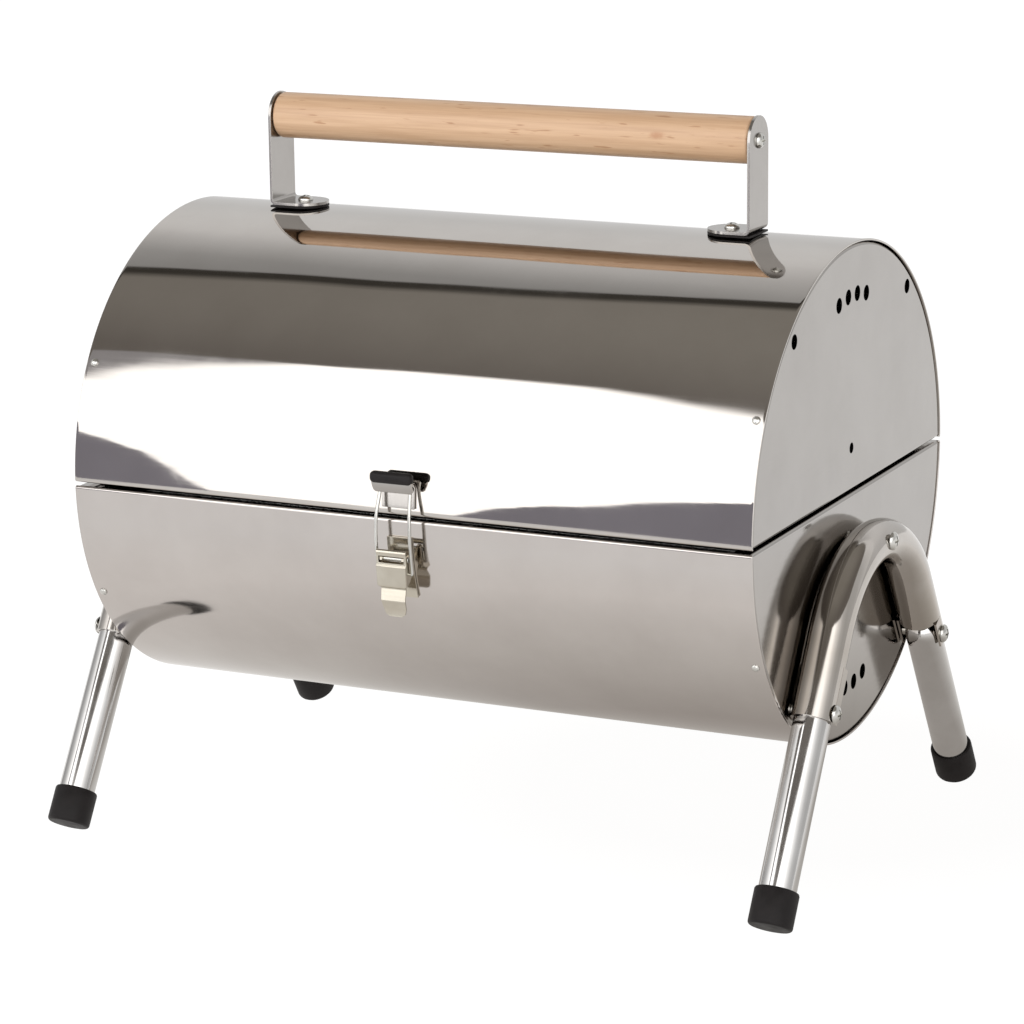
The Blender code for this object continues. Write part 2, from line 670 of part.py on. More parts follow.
def latch_lever():
    """A channel-shaped lever: a face with a rolled top and an outturned tongue, and two side cheeks."""
    face = [(0.1442, -0.0152), (0.1455, -0.0170), (0.1455, -0.0300), (0.1430, -0.0400)]
    face += [(0.1428, -0.0450), (0.1445, -0.0490)]
    bm = bmesh.new()
    rows = [
        [bm.verts.new((w * LEVER_HALF_WIDTH, -out, PARTING_Z + rise)) for w in (-1, 1)]
        for out, rise in face
    ]
    for a, b in zip(rows, rows[1:]):
        bm.faces.new((b[0], b[1], a[1], a[0]))
    lever = add("latch_lever", mesh_of(bm, "latch_lever"), ZINC)
    thicken(lever, SHEET)
    side = [(0.1451, -0.0165), (0.1393, -0.0170), (0.1382, -0.0285)]
    side += [(0.1410, -0.0310), (0.1451, -0.0310)]
    for hand in (-1, 1):
        x = hand * (LEVER_HALF_WIDTH - LATCH_SHEET / 2 - WEB)
        join(lever, cheek(f"lever_cheek_{hand}", side, x, LATCH_SHEET))
    holes = [latch_rod(LEVER_OUT, LEVER_Z, DRILL_REACH, PIVOT_WIRE + 0.0001)]
    holes.append(latch_rod(BAIL_OUT, BAIL_Z, DRILL_REACH, BAIL_WIRE + GAP))
    combine(lever, cylinders("lever_holes", holes, sides=12))
    return lever


def latch_pin():
    half, bevel = LEVER_HALF_WIDTH, 0.0002
    profile = [(0, half), (PIVOT_WIRE - bevel, half), (PIVOT_WIRE, half - bevel)]
    profile += [(PIVOT_WIRE, bevel - half), (PIVOT_WIRE - bevel, -half), (0, -half)]
    pin = turned("latch_pivot_pin", profile, ZINC, 12)
    pin.location = (0, -LEVER_OUT, PARTING_Z + LEVER_Z)
    pin.rotation_euler = (0, math.radians(90), 0)
    return pin


def latch_bail():
    """A bent wire: both ends hook into the lever's cheeks, the top bar lies in the catch's hook."""
    side = LEVER_HALF_WIDTH + BAIL_WIRE + GAP
    half = [(0.0069, BAIL_OUT, BAIL_Z), (side - 0.0004, BAIL_OUT, BAIL_Z)]
    half.append((side, BAIL_OUT, BAIL_Z + 0.0006))
    half += [(side, 0.1425, -0.012), (side, 0.1425, 0.001), (0.0082, CATCH_OUT, 0.0150)]
    half += [(0.0082, CATCH_OUT, CATCH_Z - 0.0006), (0.0076, CATCH_OUT, CATCH_Z)]
    path = half + [(-x, out, rise) for x, out, rise in reversed(half)]
    points = [(x, -out, PARTING_Z + rise) for x, out, rise in path]
    return tube("latch_bail", points, BAIL_WIRE, ZINC, 3)


def latch_catch():
    """The hook on the lid: a plate on the shell, a tongue out to the front and a wide upturned lip."""
    catch = wrap("latch_catch", 0.009, 0, 0.005, 0.020, LATCH_SHEET, -1, ZINC)
    under, face = PARTING_Z + 0.0163, -0.1432
    tongue = box("catch_tongue", (-0.007, face, under), (0.007, -0.1344, under + LATCH_SHEET))
    lip = box("catch_lip", (-0.011, face, under), (0.011, face + LATCH_SHEET, PARTING_Z + 0.0230))
    join(catch, tongue)
    join(catch, lip)
    low, high = PARTING_Z + 0.0178, PARTING_Z + 0.0246
    cover = box("latch_catch_cover", (-0.012, -0.1452, low), (0.012, -0.1400, high), BLACK)
    slot = box("cover_slot", (-0.0113, -0.1435, low - 0.001), (0.0113, -0.1417, PARTING_Z + 0.0233))
    edges = cover.modifiers.new("round", "BEVEL")
    edges.width = 0.0012
    edges.segments = 2
    combine(cover, slot)
    return [catch, cover]


def build():
    barrel_shell("lower_shell", -1, rivet_holes(-1))
    lid = [barrel_shell("lid_shell", 1, rivet_holes(1) + handle_holes())]
    for side_name, side in SIDES:
        end_plate(f"lower_end_plate_{side_name}", side, -1)
        lid.append(end_plate(f"lid_end_plate_{side_name}", side, 1))
        grate_rail(f"lower_grate_rail_{side_name}", side, -1)
        lid.append(grate_rail(f"lid_grate_rail_{side_name}", side, 1))
        leg_arch(f"leg_arch_{side_name}", side)
        apex = Vector((side * (ARCH_X + TUBE_RADIUS + GAP), 0, PARTING_Z - APEX_DROP))
        bolt(f"arch_bolt_{side_name}", apex, side, APEX_BOLT, BOLT_GRIP)
        lid.append(hinge(side_name, side))
    rivets("lower", -1)
    lid += rivets("lid", 1)
    grates("lower", -1)
    lid += grates("lid", 1)
    legs()
    lid += handle()
    lid += latch_catch()
    latch_base()
    latch_pin()
    hang([latch_lever()], empty("latch_lever_axis", (0, -LEVER_OUT, PARTING_Z + LEVER_Z)))
    hang([latch_bail()], empty("latch_bail_axis", (0, -BAIL_OUT, PARTING_Z + BAIL_Z)))
    hang(lid, empty("lid_axis", (0, HINGE_Y, PARTING_Z)))


build()
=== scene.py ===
"""Looks of the barrel charcoal grill: polished sheet, tubes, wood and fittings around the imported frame.

Metres, +Z up. X runs along the barrel and -Y is the front.
"""

import json
import math

import bmesh
import bpy
from mathutils import Matrix, Vector


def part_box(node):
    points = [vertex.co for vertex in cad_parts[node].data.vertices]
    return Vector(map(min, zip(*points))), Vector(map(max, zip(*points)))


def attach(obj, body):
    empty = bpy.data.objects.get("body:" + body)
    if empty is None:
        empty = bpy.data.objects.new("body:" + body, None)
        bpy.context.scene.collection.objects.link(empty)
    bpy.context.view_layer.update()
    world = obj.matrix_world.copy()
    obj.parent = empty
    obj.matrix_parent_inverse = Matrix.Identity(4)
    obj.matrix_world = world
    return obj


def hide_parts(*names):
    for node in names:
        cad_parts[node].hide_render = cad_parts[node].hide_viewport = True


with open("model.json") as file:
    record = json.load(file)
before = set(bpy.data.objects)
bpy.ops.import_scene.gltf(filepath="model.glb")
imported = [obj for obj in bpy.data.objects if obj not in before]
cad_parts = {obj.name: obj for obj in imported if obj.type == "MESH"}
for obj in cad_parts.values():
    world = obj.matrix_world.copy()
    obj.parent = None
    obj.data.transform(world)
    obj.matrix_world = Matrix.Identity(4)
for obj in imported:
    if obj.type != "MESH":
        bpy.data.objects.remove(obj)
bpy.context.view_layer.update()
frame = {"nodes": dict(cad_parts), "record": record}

# Sizes read from the frame
LOWER_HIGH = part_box("lower_shell")[1]
LID_LOW, LID_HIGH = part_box("lid_shell")
HALF_LENGTH = LID_HIGH.x
HALF_DEPTH = LID_HIGH.y
PARTING = (LOWER_HIGH.z + LID_LOW.z) / 2
HALF_GAP = LID_LOW.z - PARTING
HALF_HEIGHT = LID_HIGH.z - PARTING
PLATE_LOW, PLATE_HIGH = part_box("lid_end_plate_right")
PLATE_FACE = PLATE_HIGH.x
FLANGE_X = PLATE_LOW.x
FLANGE_INSET = HALF_DEPTH - PLATE_HIGH.y
JOINTS = {joint["name"]: joint for joint in frame["record"]["behaviour"]["joints"]}
PIVOT = {end: Vector(JOINTS[f"leg_{end}_right_fold"]["pos_m"]) for end in ("front", "rear")}
ARCH_X = PIVOT["rear"].x
BAR_LOW, BAR_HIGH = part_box("handle_bar")
BRACKET_LOW, BRACKET_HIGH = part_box("handle_bracket_right")
PAD_LOW, PAD_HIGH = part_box("handle_pad_right")
COVER_LOW, COVER_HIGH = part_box("latch_catch_cover")
CATCH_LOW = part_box("latch_catch")[0]
LEVER_LOW, LEVER_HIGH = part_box("latch_lever")

# Sizes of the fine shapes
SHEET = 0.001
HEM = 0.0015
LIP = 0.005
FOLD = 0.0020
LEG_LEAN = math.radians(32)
ARCH_BEND, ARCH_DROP = 0.069, 0.094
TUBE_RADIUS, TUBE_BORE = 0.011, 0.0098
LEG_RADIUS, LEG_WALL = 0.0095, 0.0012
SLEEVE_TAIL, SLOT_HALF = 0.0045, 0.00985
SLOT_LENGTH = {"front": 0.024, "rear": 0.012}
CAP_RADIUS, CAP_LENGTH = 0.0112, 0.019
HINGE_X, HINGE_KNUCKLE, HINGE_LEAF = 0.110, 0.003, 0.022
VENTS = ((0.0064, 0.101), (0.0193, 0.099))
PIVOT_DROP = PARTING - PIVOT["rear"].z
APEX_DROP = 0.023
VENT_RADIUS, PIVOT_HOLE, APEX_HOLE = 0.004, 0.0038, 0.0028
SHEET_BEVEL = 0.00025
STRIP_THICK = 0.0015
SCREW_RISE = 0.0024
BOLT_HEAD, BOLT_SHANK, APEX_SHANK = 0.0048, 0.003, 0.0025
WOOD_SCREW_HEAD, WOOD_SCREW_SHANK = 0.004, 0.002
BAR_EDGE = 0.002
PIN_RADIUS, PIN_PROUD = 0.0015, 0.0002
LEAF_OFFSET, LEAF_HALF, MIDDLE_KNUCKLE = 0.0013, 0.016, 0.007
BAIL_WIRE, BAIL_TOP_OUT, BAIL_TOP_HALF = 0.0009, 0.1386, 0.0083
CATCH_TONGUE = 0.0175
SIDES = (("left", -1), ("right", 1))
ENDS = (("front", -1), ("rear", 1))
HALVES = (("lower", -1, "firebox"), ("lid", 1, "lid"))
ACROSS = (-1, -0.5, 0, 0.5, 1)
QUARTER = [math.radians(angle) for angle in range(0, 91, 10)]
TIP_HALF = 0.0006

LEVER_ROLL, LEVER_RAISED = 0.0014, 0.0008
# The lever's face below its rolled edge, as (back from the face, down from the ridge, share of the width)
LEVER_FACE = (
    (0.0005, 0.0030, 1.0),
    (0.0006, 0.0075, 1.0),
    (0, 0.0084, 1.0),
    (0.0006, 0.0180, 0.95),
    (0.0013, 0.0192, 0.91),
    (0.0026, 0.0198, 0.86),
    (0.0028, 0.0206, 0.84),
    (0.0019, 0.0262, 0.82),
    (0.0022, 0.0270, 0.81),
)
# Its tongue, as (back from the face, up from the tip, share of the width)
LEVER_TONGUE = ((0.0040, 0.0040, 0.76), (0.0045, 0.0012, 0.66), (0.0044, 0, 0.42))


# ---------------------------------------------------------------- materials


def material(name):
    made = bpy.data.materials.new(name)
    made.use_nodes = True
    return made, made.node_tree, made.node_tree.nodes["Principled BSDF"]


def node(tree, kind, **settings):
    made = tree.nodes.new(kind)
    for key, value in settings.items():
        setattr(made, key, value)
    return made


def coordinates(tree, stretch=(1, 1, 1)):
    source = node(tree, "ShaderNodeTexCoord")
    mapping = node(tree, "ShaderNodeMapping")
    mapping.inputs["Scale"].default_value = stretch
    tree.links.new(source.outputs["Object"], mapping.inputs["Vector"])
    return mapping.outputs["Vector"]


def noise(tree, scale, stretch=(1, 1, 1), detail=3.0, rough=0.5, distortion=0.0):
    made = node(tree, "ShaderNodeTexNoise")
    made.inputs["Scale"].default_value = scale
    made.inputs["Detail"].default_value = detail
    made.inputs["Roughness"].default_value = rough
    made.inputs["Distortion"].default_value = distortion
    tree.links.new(coordinates(tree, stretch), made.inputs["Vector"])
    return made.outputs["Fac"]


def span(tree, value, low, high, to_low, to_high):
    """value from low..high mapped smoothly to to_low..to_high."""
    made = node(tree, "ShaderNodeMapRange", interpolation_type="SMOOTHSTEP")
    for key, number in zip(("From Min", "From Max", "To Min", "To Max"), (low, high, to_low, to_high)):
        made.inputs[key].default_value = number
    tree.links.new(value, made.inputs["Value"])
    return made.outputs["Result"]


def math_node(tree, operation, a, b):
    made = node(tree, "ShaderNodeMath", operation=operation)
    for socket, value in zip(made.inputs, (a, b)):
        if isinstance(value, (int, float)):
            socket.default_value = value
        else:
            tree.links.new(value, socket)
    return made.outputs["Value"]


def ramp(tree, value, stops):
    made = node(tree, "ShaderNodeValToRGB")
    elements = made.color_ramp.elements
    while len(elements) < len(stops):
        elements.new(0.5)
    for element, (position, colour) in zip(elements, stops):
        element.position = position
        element.color = (*colour, 1)
    tree.links.new(value, made.inputs["Fac"])
    return made.outputs["Color"]


def bump(tree, height, distance, before=None):
    made = node(tree, "ShaderNodeBump")
    made.inputs["Strength"].default_value = 1.0
    made.inputs["Distance"].default_value = distance
    tree.links.new(height, made.inputs["Height"])
    if before:
        tree.links.new(before, made.inputs["Normal"])
    return made.outputs["Normal"]


def metal(name, dark, light, roughness, wave, lines, line_stretch, smudge=0.06):
    """Polished metal: waves of the sheet, fine polishing lines, and smudges in its colour and gloss."""
    made, tree, shader = material(name)
    shader.inputs["Metallic"].default_value = 1.0
    clouds = noise(tree, 22, detail=4, rough=0.6)
    prints = noise(tree, 90, detail=5, rough=0.7, distortion=0.6)
    tree.links.new(ramp(tree, clouds, ((0.3, dark), (0.7, light))), shader.inputs["Base Color"])
    fine = noise(tree, 700, line_stretch, detail=2)
    gloss = span(tree, clouds, 0.4, 0.75, roughness, roughness + smudge)
    spots = span(tree, prints, 0.55, 0.8, 0.0, smudge * 0.7)
    scratch = span(tree, fine, 0.35, 0.75, 0.0, smudge * 0.5)
    total = math_node(tree, "ADD", math_node(tree, "ADD", gloss, spots), scratch)
    tree.links.new(total, shader.inputs["Roughness"])
    normal = bump(tree, fine, lines)
    if wave:
        normal = bump(tree, noise(tree, 5.0, (0.8, 1, 1), detail=1.5, rough=0.4), wave, normal)
    tree.links.new(normal, shader.inputs["Normal"])
    return made


def wood(name):
    """Beech: straight grain along the bar, short dark flecks, pale bands and one small knot."""
    made, tree, shader = material(name)
    bands = noise(tree, 60, (0.06, 1, 1), detail=6, rough=0.6, distortion=0.4)
    grain = noise(tree, 420, (0.03, 1, 1), detail=4, rough=0.65)
    flecks = noise(tree, 520, (0.12, 1, 1), detail=2)
    base = ramp(
        tree,
        bands,
        ((0.25, (0.435, 0.27, 0.155)), (0.5, (0.53, 0.347, 0.213)), (0.75, (0.60, 0.41, 0.265))),
    )
    lines = ramp(tree, grain, ((0.35, (0.80, 0.74, 0.68)), (0.6, (1, 1, 1))))
    dots = ramp(tree, flecks, ((0.30, (0.66, 0.52, 0.40)), (0.36, (1, 1, 1))))
    knot = knot_mask(tree)
    colour = base
    for layer, share in ((lines, 0.75), (dots, 0.8)):
        mix = node(tree, "ShaderNodeMix", data_type="RGBA", blend_type="MULTIPLY")
        mix.inputs["Factor"].default_value = share
        tree.links.new(colour, mix.inputs["A"])
        tree.links.new(layer, mix.inputs["B"])
        colour = mix.outputs["Result"]
    mix = node(tree, "ShaderNodeMix", data_type="RGBA")
    mix.inputs["B"].default_value = (0.36, 0.17, 0.08, 1)
    tree.links.new(knot, mix.inputs["Factor"])
    tree.links.new(colour, mix.inputs["A"])
    tree.links.new(mix.outputs["Result"], shader.inputs["Base Color"])
    tree.links.new(span(tree, grain, 0.3, 0.7, 0.38, 0.55), shader.inputs["Roughness"])
    shader.inputs["Coat Weight"].default_value = 0.15
    shader.inputs["Coat Roughness"].default_value = 0.3
    normal = bump(tree, grain, 0.00012)
    tree.links.new(bump(tree, flecks, 0.00006, normal), shader.inputs["Normal"])
    return made


def knot_mask(tree):
    """1 at a small oval knot on the bar's front, 0 away from it."""
    source = node(tree, "ShaderNodeTexCoord")
    offset = node(tree, "ShaderNodeMapping")
    offset.inputs["Location"].default_value = (-0.086, 0.0110, -BAR_HIGH.z + 0.0105)
    squeeze = node(tree, "ShaderNodeMapping")
    squeeze.inputs["Scale"].default_value = (0.45, 0.6, 1)
    length = node(tree, "ShaderNodeVectorMath", operation="LENGTH")
    tree.links.new(source.outputs["Object"], offset.inputs["Vector"])
    tree.links.new(offset.outputs["Vector"], squeeze.inputs["Vector"])
    tree.links.new(squeeze.outputs["Vector"], length.inputs[0])
    ragged = math_node(tree, "MULTIPLY", noise(tree, 500, detail=3), 0.0012)
    reach = math_node(tree, "ADD", length.outputs["Value"], ragged)
    return span(tree, reach, 0.0012, 0.0032, 0.75, 0.0)


def moulded(name, colour, roughness, grain):
    made, tree, shader = material(name)
    cloud = noise(tree, 160, detail=4)
    light = tuple(min(1, channel * 1.5 + 0.003) for channel in colour)
    tree.links.new(ramp(tree, cloud, ((0.3, colour), (0.75, light))), shader.inputs["Base Color"])
    tree.links.new(span(tree, cloud, 0.3, 0.7, roughness, roughness + 0.12), shader.inputs["Roughness"])
    tree.links.new(bump(tree, noise(tree, 2600, detail=2), grain), shader.inputs["Normal"])
    shader.inputs["Specular IOR Level"].default_value = 0.22
    return made


# How the polishing lines are drawn out: along the barrel, across the plates, down the strips
LONG, ALONG_Y, ALONG_Z, TUBE_LINES = (0.02, 1, 1), (1, 0.03, 1), (1, 1, 0.03), (1, 0.05, 0.05)
LATCH_LINES, NO_LINES = (0.05, 1, 1), (1, 1, 1)
# Dark and light colour, roughness, waves of the sheet, depth and direction of the lines, smudges
METALS = {
    "lid": ("lid_steel", (0.49, 0.46, 0.43), (0.53, 0.50, 0.47), 0.03, 0.0018, 0.000003, LONG, 0.03),
    "lower": ("lower_steel", (0.51, 0.475, 0.45), (0.55, 0.515, 0.49), 0.07, 0.0022, 0.000005, LONG, 0.04),
    "plate": ("plate_steel", (0.365, 0.345, 0.325), (0.4, 0.38, 0.36), 0.07, 0.001, 0.000005, ALONG_Y, 0.05),
    "strip": ("strip_steel", (0.36, 0.34, 0.32), (0.425, 0.405, 0.385), 0.16, 0, 0.000006, ALONG_Z, 0.06),
    "tube": ("polished_tube", (0.43, 0.395, 0.355), (0.50, 0.47, 0.44), 0.06, 0, 0.000005, TUBE_LINES, 0.05),
    "leg": ("leg_tube", (0.53, 0.515, 0.50), (0.62, 0.61, 0.60), 0.06, 0, 0.000006, TUBE_LINES, 0.06),
    "nickel": ("nickel_plate", (0.44, 0.40, 0.33), (0.58, 0.545, 0.47), 0.14, 0, 0.000006, LATCH_LINES, 0.08),
    "wire": ("chromed_wire", (0.50, 0.50, 0.50), (0.62, 0.62, 0.62), 0.12, 0, 0.000004, LONG, 0.06),
    "bolt": ("bolt_steel", (0.50, 0.49, 0.46), (0.64, 0.63, 0.60), 0.18, 0, 0.000004, NO_LINES, 0.08),
}
MATERIALS = {kind: metal(*settings) for kind, settings in METALS.items()}
MATERIALS["wood"] = wood("beech")
MATERIALS["black"] = moulded("black_plastic", (0.007, 0.0055, 0.0055), 0.46, 0.00003)


# ---------------------------------------------------------------- shapes


def new_object(name, data):
    made = bpy.data.objects.new(name, data)
    bpy.context.scene.collection.objects.link(made)
    return made


def object_of(name, bm):
    data = bpy.data.meshes.new(name)
    bm.to_mesh(data)
    bm.free()
    return new_object(name, data)


def surface(name, rows, closed=False, flip=False):
    """An open sheet through rows of points. Every row has the same number of points."""
    bm = bmesh.new()
    made = [[bm.verts.new(point) for point in row] for row in rows]
    for a, b in zip(made, made[1:]):
        count = len(a) if closed else len(a) - 1
        for i in range(count):
            j = (i + 1) % len(a)
            face = (a[i], a[j], b[j], b[i])
            bm.faces.new(face[::-1] if flip else face)
    return object_of(name, bm)


def turned(name, profile, steps=48):
    """A solid turned about Z from a profile that starts and ends on the axis."""
    bm = bmesh.new()
    rings = []
    for radius, z in profile:
        if radius < 1e-7:
            rings.append([bm.verts.new((0, 0, z))])
            continue
        turns = [2 * math.pi * i / steps for i in range(steps)]
        rings.append([bm.verts.new((radius * math.cos(t), radius * math.sin(t), z)) for t in turns])
    for a, b in zip(rings, rings[1:]):
        for i in range(steps):
            j = (i + 1) % steps
            corners = [a[i % len(a)], b[i % len(b)], b[j % len(b)], a[j % len(a)]]
            unique = list(dict.fromkeys(corners))
            if len(unique) > 2:
                bm.faces.new(unique)
    bmesh.ops.recalc_face_normals(bm, faces=bm.faces)
    return object_of(name, bm)


def box(name, low, high):
    size = Vector(high) - Vector(low)
    bm = bmesh.new()
    bmesh.ops.create_cube(bm, size=1)
    bmesh.ops.scale(bm, vec=size, verts=bm.verts)
    bmesh.ops.translate(bm, vec=(Vector(high) + Vector(low)) / 2, verts=bm.verts)
    return object_of(name, bm)


def rod(name, start, end, radius, sides=32):
    along = Vector(end) - Vector(start)
    bm = bmesh.new()
    bmesh.ops.create_cone(
        bm, cap_ends=True, segments=sides, radius1=radius, radius2=radius, depth=along.length
    )
    bmesh.ops.rotate(bm, verts=bm.verts, matrix=along.to_track_quat("Z", "Y").to_matrix())
    bmesh.ops.translate(bm, verts=bm.verts, vec=(Vector(start) + Vector(end)) / 2)
    return object_of(name, bm)


def wire(name, points, radius, cyclic=False, resolution=8, smooth=False):
    """A round wire or tube along points, as a welded mesh."""
    data = bpy.data.curves.new(name, "CURVE")
    data.dimensions = "3D"
    data.bevel_depth = radius
    data.bevel_resolution = resolution
    data.use_fill_caps = True
    spline = data.splines.new("NURBS" if smooth else "POLY")
    spline.points.add(len(points) - 1)
    for target, point in zip(spline.points, points):
        target.co = (*point, 1)
    spline.use_cyclic_u = cyclic
    if smooth:
        spline.order_u = 3
        spline.use_endpoint_u = not cyclic
        spline.resolution_u = 8
    guide = new_object(name + "_guide", data)
    mesh = evaluated_mesh(guide)
    bpy.data.objects.remove(guide)
    bm = bmesh.new()
    bm.from_mesh(mesh)
    bmesh.ops.remove_doubles(bm, verts=bm.verts, dist=0.000005)
    bmesh.ops.recalc_face_normals(bm, faces=bm.faces)
    bm.to_mesh(mesh)
    bm.free()
    mesh.name = name
    return new_object(name, mesh)


def evaluated_mesh(piece):
    graph = bpy.context.evaluated_depsgraph_get()
    return bpy.data.meshes.new_from_object(piece.evaluated_get(graph), depsgraph=graph)


def apply_modifiers(piece):
    mesh = evaluated_mesh(piece)
    piece.modifiers.clear()
    piece.data = mesh
    return piece


def thicken(piece, thickness=SHEET, offset=-1.0):
    step = piece.modifiers.new("sheet", "SOLIDIFY")
    step.thickness = thickness
    step.offset = offset
    step.use_even_offset = True


def combine(piece, others, operation="DIFFERENCE"):
    """Cuts or joins other solids into the piece, and removes them."""
    for other in others:
        step = piece.modifiers.new("combine", "BOOLEAN")
        step.operation = operation
        step.solver = "EXACT"
        step.object = other
    bpy.context.view_layer.update()
    apply_modifiers(piece)
    for other in others:
        bpy.data.objects.remove(other)
    return piece


def soften(piece, width=SHEET_BEVEL, segments=2, degrees=35):
    step = piece.modifiers.new("edges", "BEVEL")
    step.width = width
    step.segments = segments
    step.limit_method = "ANGLE"
    step.angle_limit = math.radians(degrees)


def dress(piece, kind, body, *nodes, bevel=0.0, degrees=30):
    """Gives a piece its material, its shading, its body and the CAD nodes that it stands for."""
    piece.data.materials.clear()
    piece.data.materials.append(MATERIALS[kind])
    piece.data.shade_smooth()
    piece.data.set_sharp_from_angle(angle=math.radians(degrees))
    if bevel:
        soften(piece, bevel)
        normals = piece.modifiers.new("normals", "WEIGHTED_NORMAL")
        normals.keep_sharp = True
    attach(piece, body)
    if nodes:
        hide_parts(*nodes)
    return piece


def place(piece, matrix):
    piece.data.transform(matrix)
    return piece


def arc(centre, radius, start, end, steps):
    turns = [math.radians(start + (end - start) * i / steps) for i in range(steps + 1)]
    return [(centre[0] + radius * math.cos(t), centre[1] + radius * math.sin(t)) for t in turns]


def barrel_out(rise, offset=0.0):
    return (HALF_DEPTH + offset) * math.sqrt(1 - (rise / (HALF_HEIGHT + offset)) ** 2)


def half_ellipse(inset, edge, steps):
    """(y, rise) from the front to the rear of an ellipse inset from the barrel's, above the height edge."""
    deep, high = HALF_DEPTH - inset, HALF_HEIGHT - inset
    start = math.asin(edge / high)
    turns = [start + (math.pi - 2 * start) * i / steps for i in range(steps + 1)]
    return [(-deep * math.cos(t), high * math.sin(t)) for t in turns]


# ---------------------------------------------------------------- barrel


def shell(name, up, kind, body):
    """Half a barrel: fine curved sheet whose parting edges roll inwards into a lip."""
    wall = half_ellipse(0, HALF_GAP + HEM, 150)
    roll = [(-y, z) for y, z in arc((HALF_DEPTH - HEM, HALF_GAP + HEM), HEM, -90, 0, 5)][:-1]
    profile = roll + wall + [(-y, z) for y, z in reversed(roll)]
    lip_x = FLANGE_X - 0.0015
    bm = bmesh.new()
    columns = []
    stations = [-HALF_LENGTH, -HALF_LENGTH + 0.0015, -lip_x, -lip_x / 2, 0, lip_x / 2, lip_x]
    stations += [HALF_LENGTH - 0.0015, HALF_LENGTH]
    for x in stations:
        columns.append([bm.verts.new((x, y, PARTING + up * z)) for y, z in profile])
    faces = []
    for a, b in zip(columns, columns[1:]):
        faces += [(a[i], b[i], b[i + 1], a[i + 1]) for i in range(len(profile) - 1)]
    for end, index in ((-1, 0), (1, -1)):
        edge = PARTING + up * HALF_GAP
        lips = [bm.verts.new((x, end * (HALF_DEPTH - LIP), edge)) for x in stations[2:-2]]
        for i in range(len(lips) - 1):
            face = (lips[i], lips[i + 1], columns[i + 3][index], columns[i + 2][index])
            faces.append(face if end < 0 else face[::-1])
    for face in faces:
        bm.faces.new(face if up > 0 else face[::-1])
    made = object_of(name + "_sheet", bm)
    thicken(made)
    return dress(made, kind, body, name, bevel=SHEET_BEVEL)


def end_plate(name, side, up, body):
    """A pressed end: flat face with its holes, a rounded fold and a flange inside the shell."""
    steps = 96
    rows = []
    stages = [(0, FLANGE_X), (0, PLATE_FACE - FOLD)]
    for inset, along in arc((FOLD, PLATE_FACE - FOLD), FOLD, 180, 90, 5)[1:]:
        stages.append((inset, along))
    for inset, x in stages:
        outline = half_ellipse(FLANGE_INSET + inset, HALF_GAP + inset, steps)
        rows.append([(side * x, y, PARTING + up * rise) for y, rise in outline])
    made = surface(name + "_pressing", rows, closed=True, flip=side * up < 0)
    bm = bmesh.new()
    bm.from_mesh(made.data)
    bm.verts.ensure_lookup_table()
    # The last row bounds the flat face
    last = [bm.verts[len(bm.verts) - len(rows[0]) + i] for i in range(len(rows[0]))]
    bm.faces.new(last if side * up > 0 else last[::-1])
    bmesh.ops.recalc_face_normals(bm, faces=bm.faces)
    face = max(bm.faces, key=lambda each: each.calc_area())
    if face.normal.x * side < 0:
        bmesh.ops.reverse_faces(bm, faces=bm.faces)
    bm.to_mesh(made.data)
    bm.free()
    thicken(made)
    holes = [(end * y, drop, VENT_RADIUS) for y, drop in VENTS for end in (-1, 1)]
    holes += [(end * PIVOT["rear"].y, PIVOT_DROP, PIVOT_HOLE) for end in (-1, 1)]
    holes.append((0, APEX_DROP, APEX_HOLE))
    cutters = []
    for y, drop, radius in holes:
        z = PARTING + up * drop
        inner, outer = side * (PLATE_FACE - 0.005), side * (PLATE_FACE + 0.005)
        cutters.append(rod("hole", (inner, y, z), (outer, y, z), radius))
    combine(made, cutters)
    return dress(made, "plate", body, name, bevel=0.0002)


def rivet(name, side, end, up, body):
    drop, inset = 0.061, 0.0045
    y = end * barrel_out(drop)
    normal = Vector((0, y / HALF_DEPTH**2, up * drop / HALF_HEIGHT**2)).normalized()
    at = Vector((side * (HALF_LENGTH - inset), y, PARTING + up * drop))
    head, rise, neck, shank, depth = 0.0021, 0.0012, 0.0002, 0.0012, -0.003
    turns = [math.pi / 2 * i / 6 for i in range(7)]
    dome = [(head * math.cos(t), neck + rise * math.sin(t)) for t in reversed(turns)]
    profile = [(0, dome[0][1]), *dome[1:], (head, 0), (shank, 0), (shank, depth), (0, depth)]
    made = turned(name + "_head", profile, 24)
    place(made, Matrix.Translation(at) @ normal.to_track_quat("Z", "Y").to_matrix().to_4x4())
    return dress(made, "bolt", body, name)


# ---------------------------------------------------------------- legs


def leg_axes(end):
    down = Vector((0, end * math.sin(LEG_LEAN), -math.cos(LEG_LEAN)))
    inward = Vector((0, -end * math.cos(LEG_LEAN), -math.sin(LEG_LEAN)))
    return down, inward


def arch_path(side, tail):
    bend = math.degrees(LEG_LEAN)
    curve = arc((0, PARTING - ARCH_DROP), ARCH_BEND, 180 - bend, bend, 40)
    points = [Vector((side * ARCH_X, y, z)) for y, z in curve]
    for end_name, end in ENDS:
        pivot = Vector((side * ARCH_X, PIVOT[end_name].y, PIVOT[end_name].z))
        tip = pivot + leg_axes(end)[0] * tail
        points = [tip, *points] if end < 0 else [*points, tip]
    return points


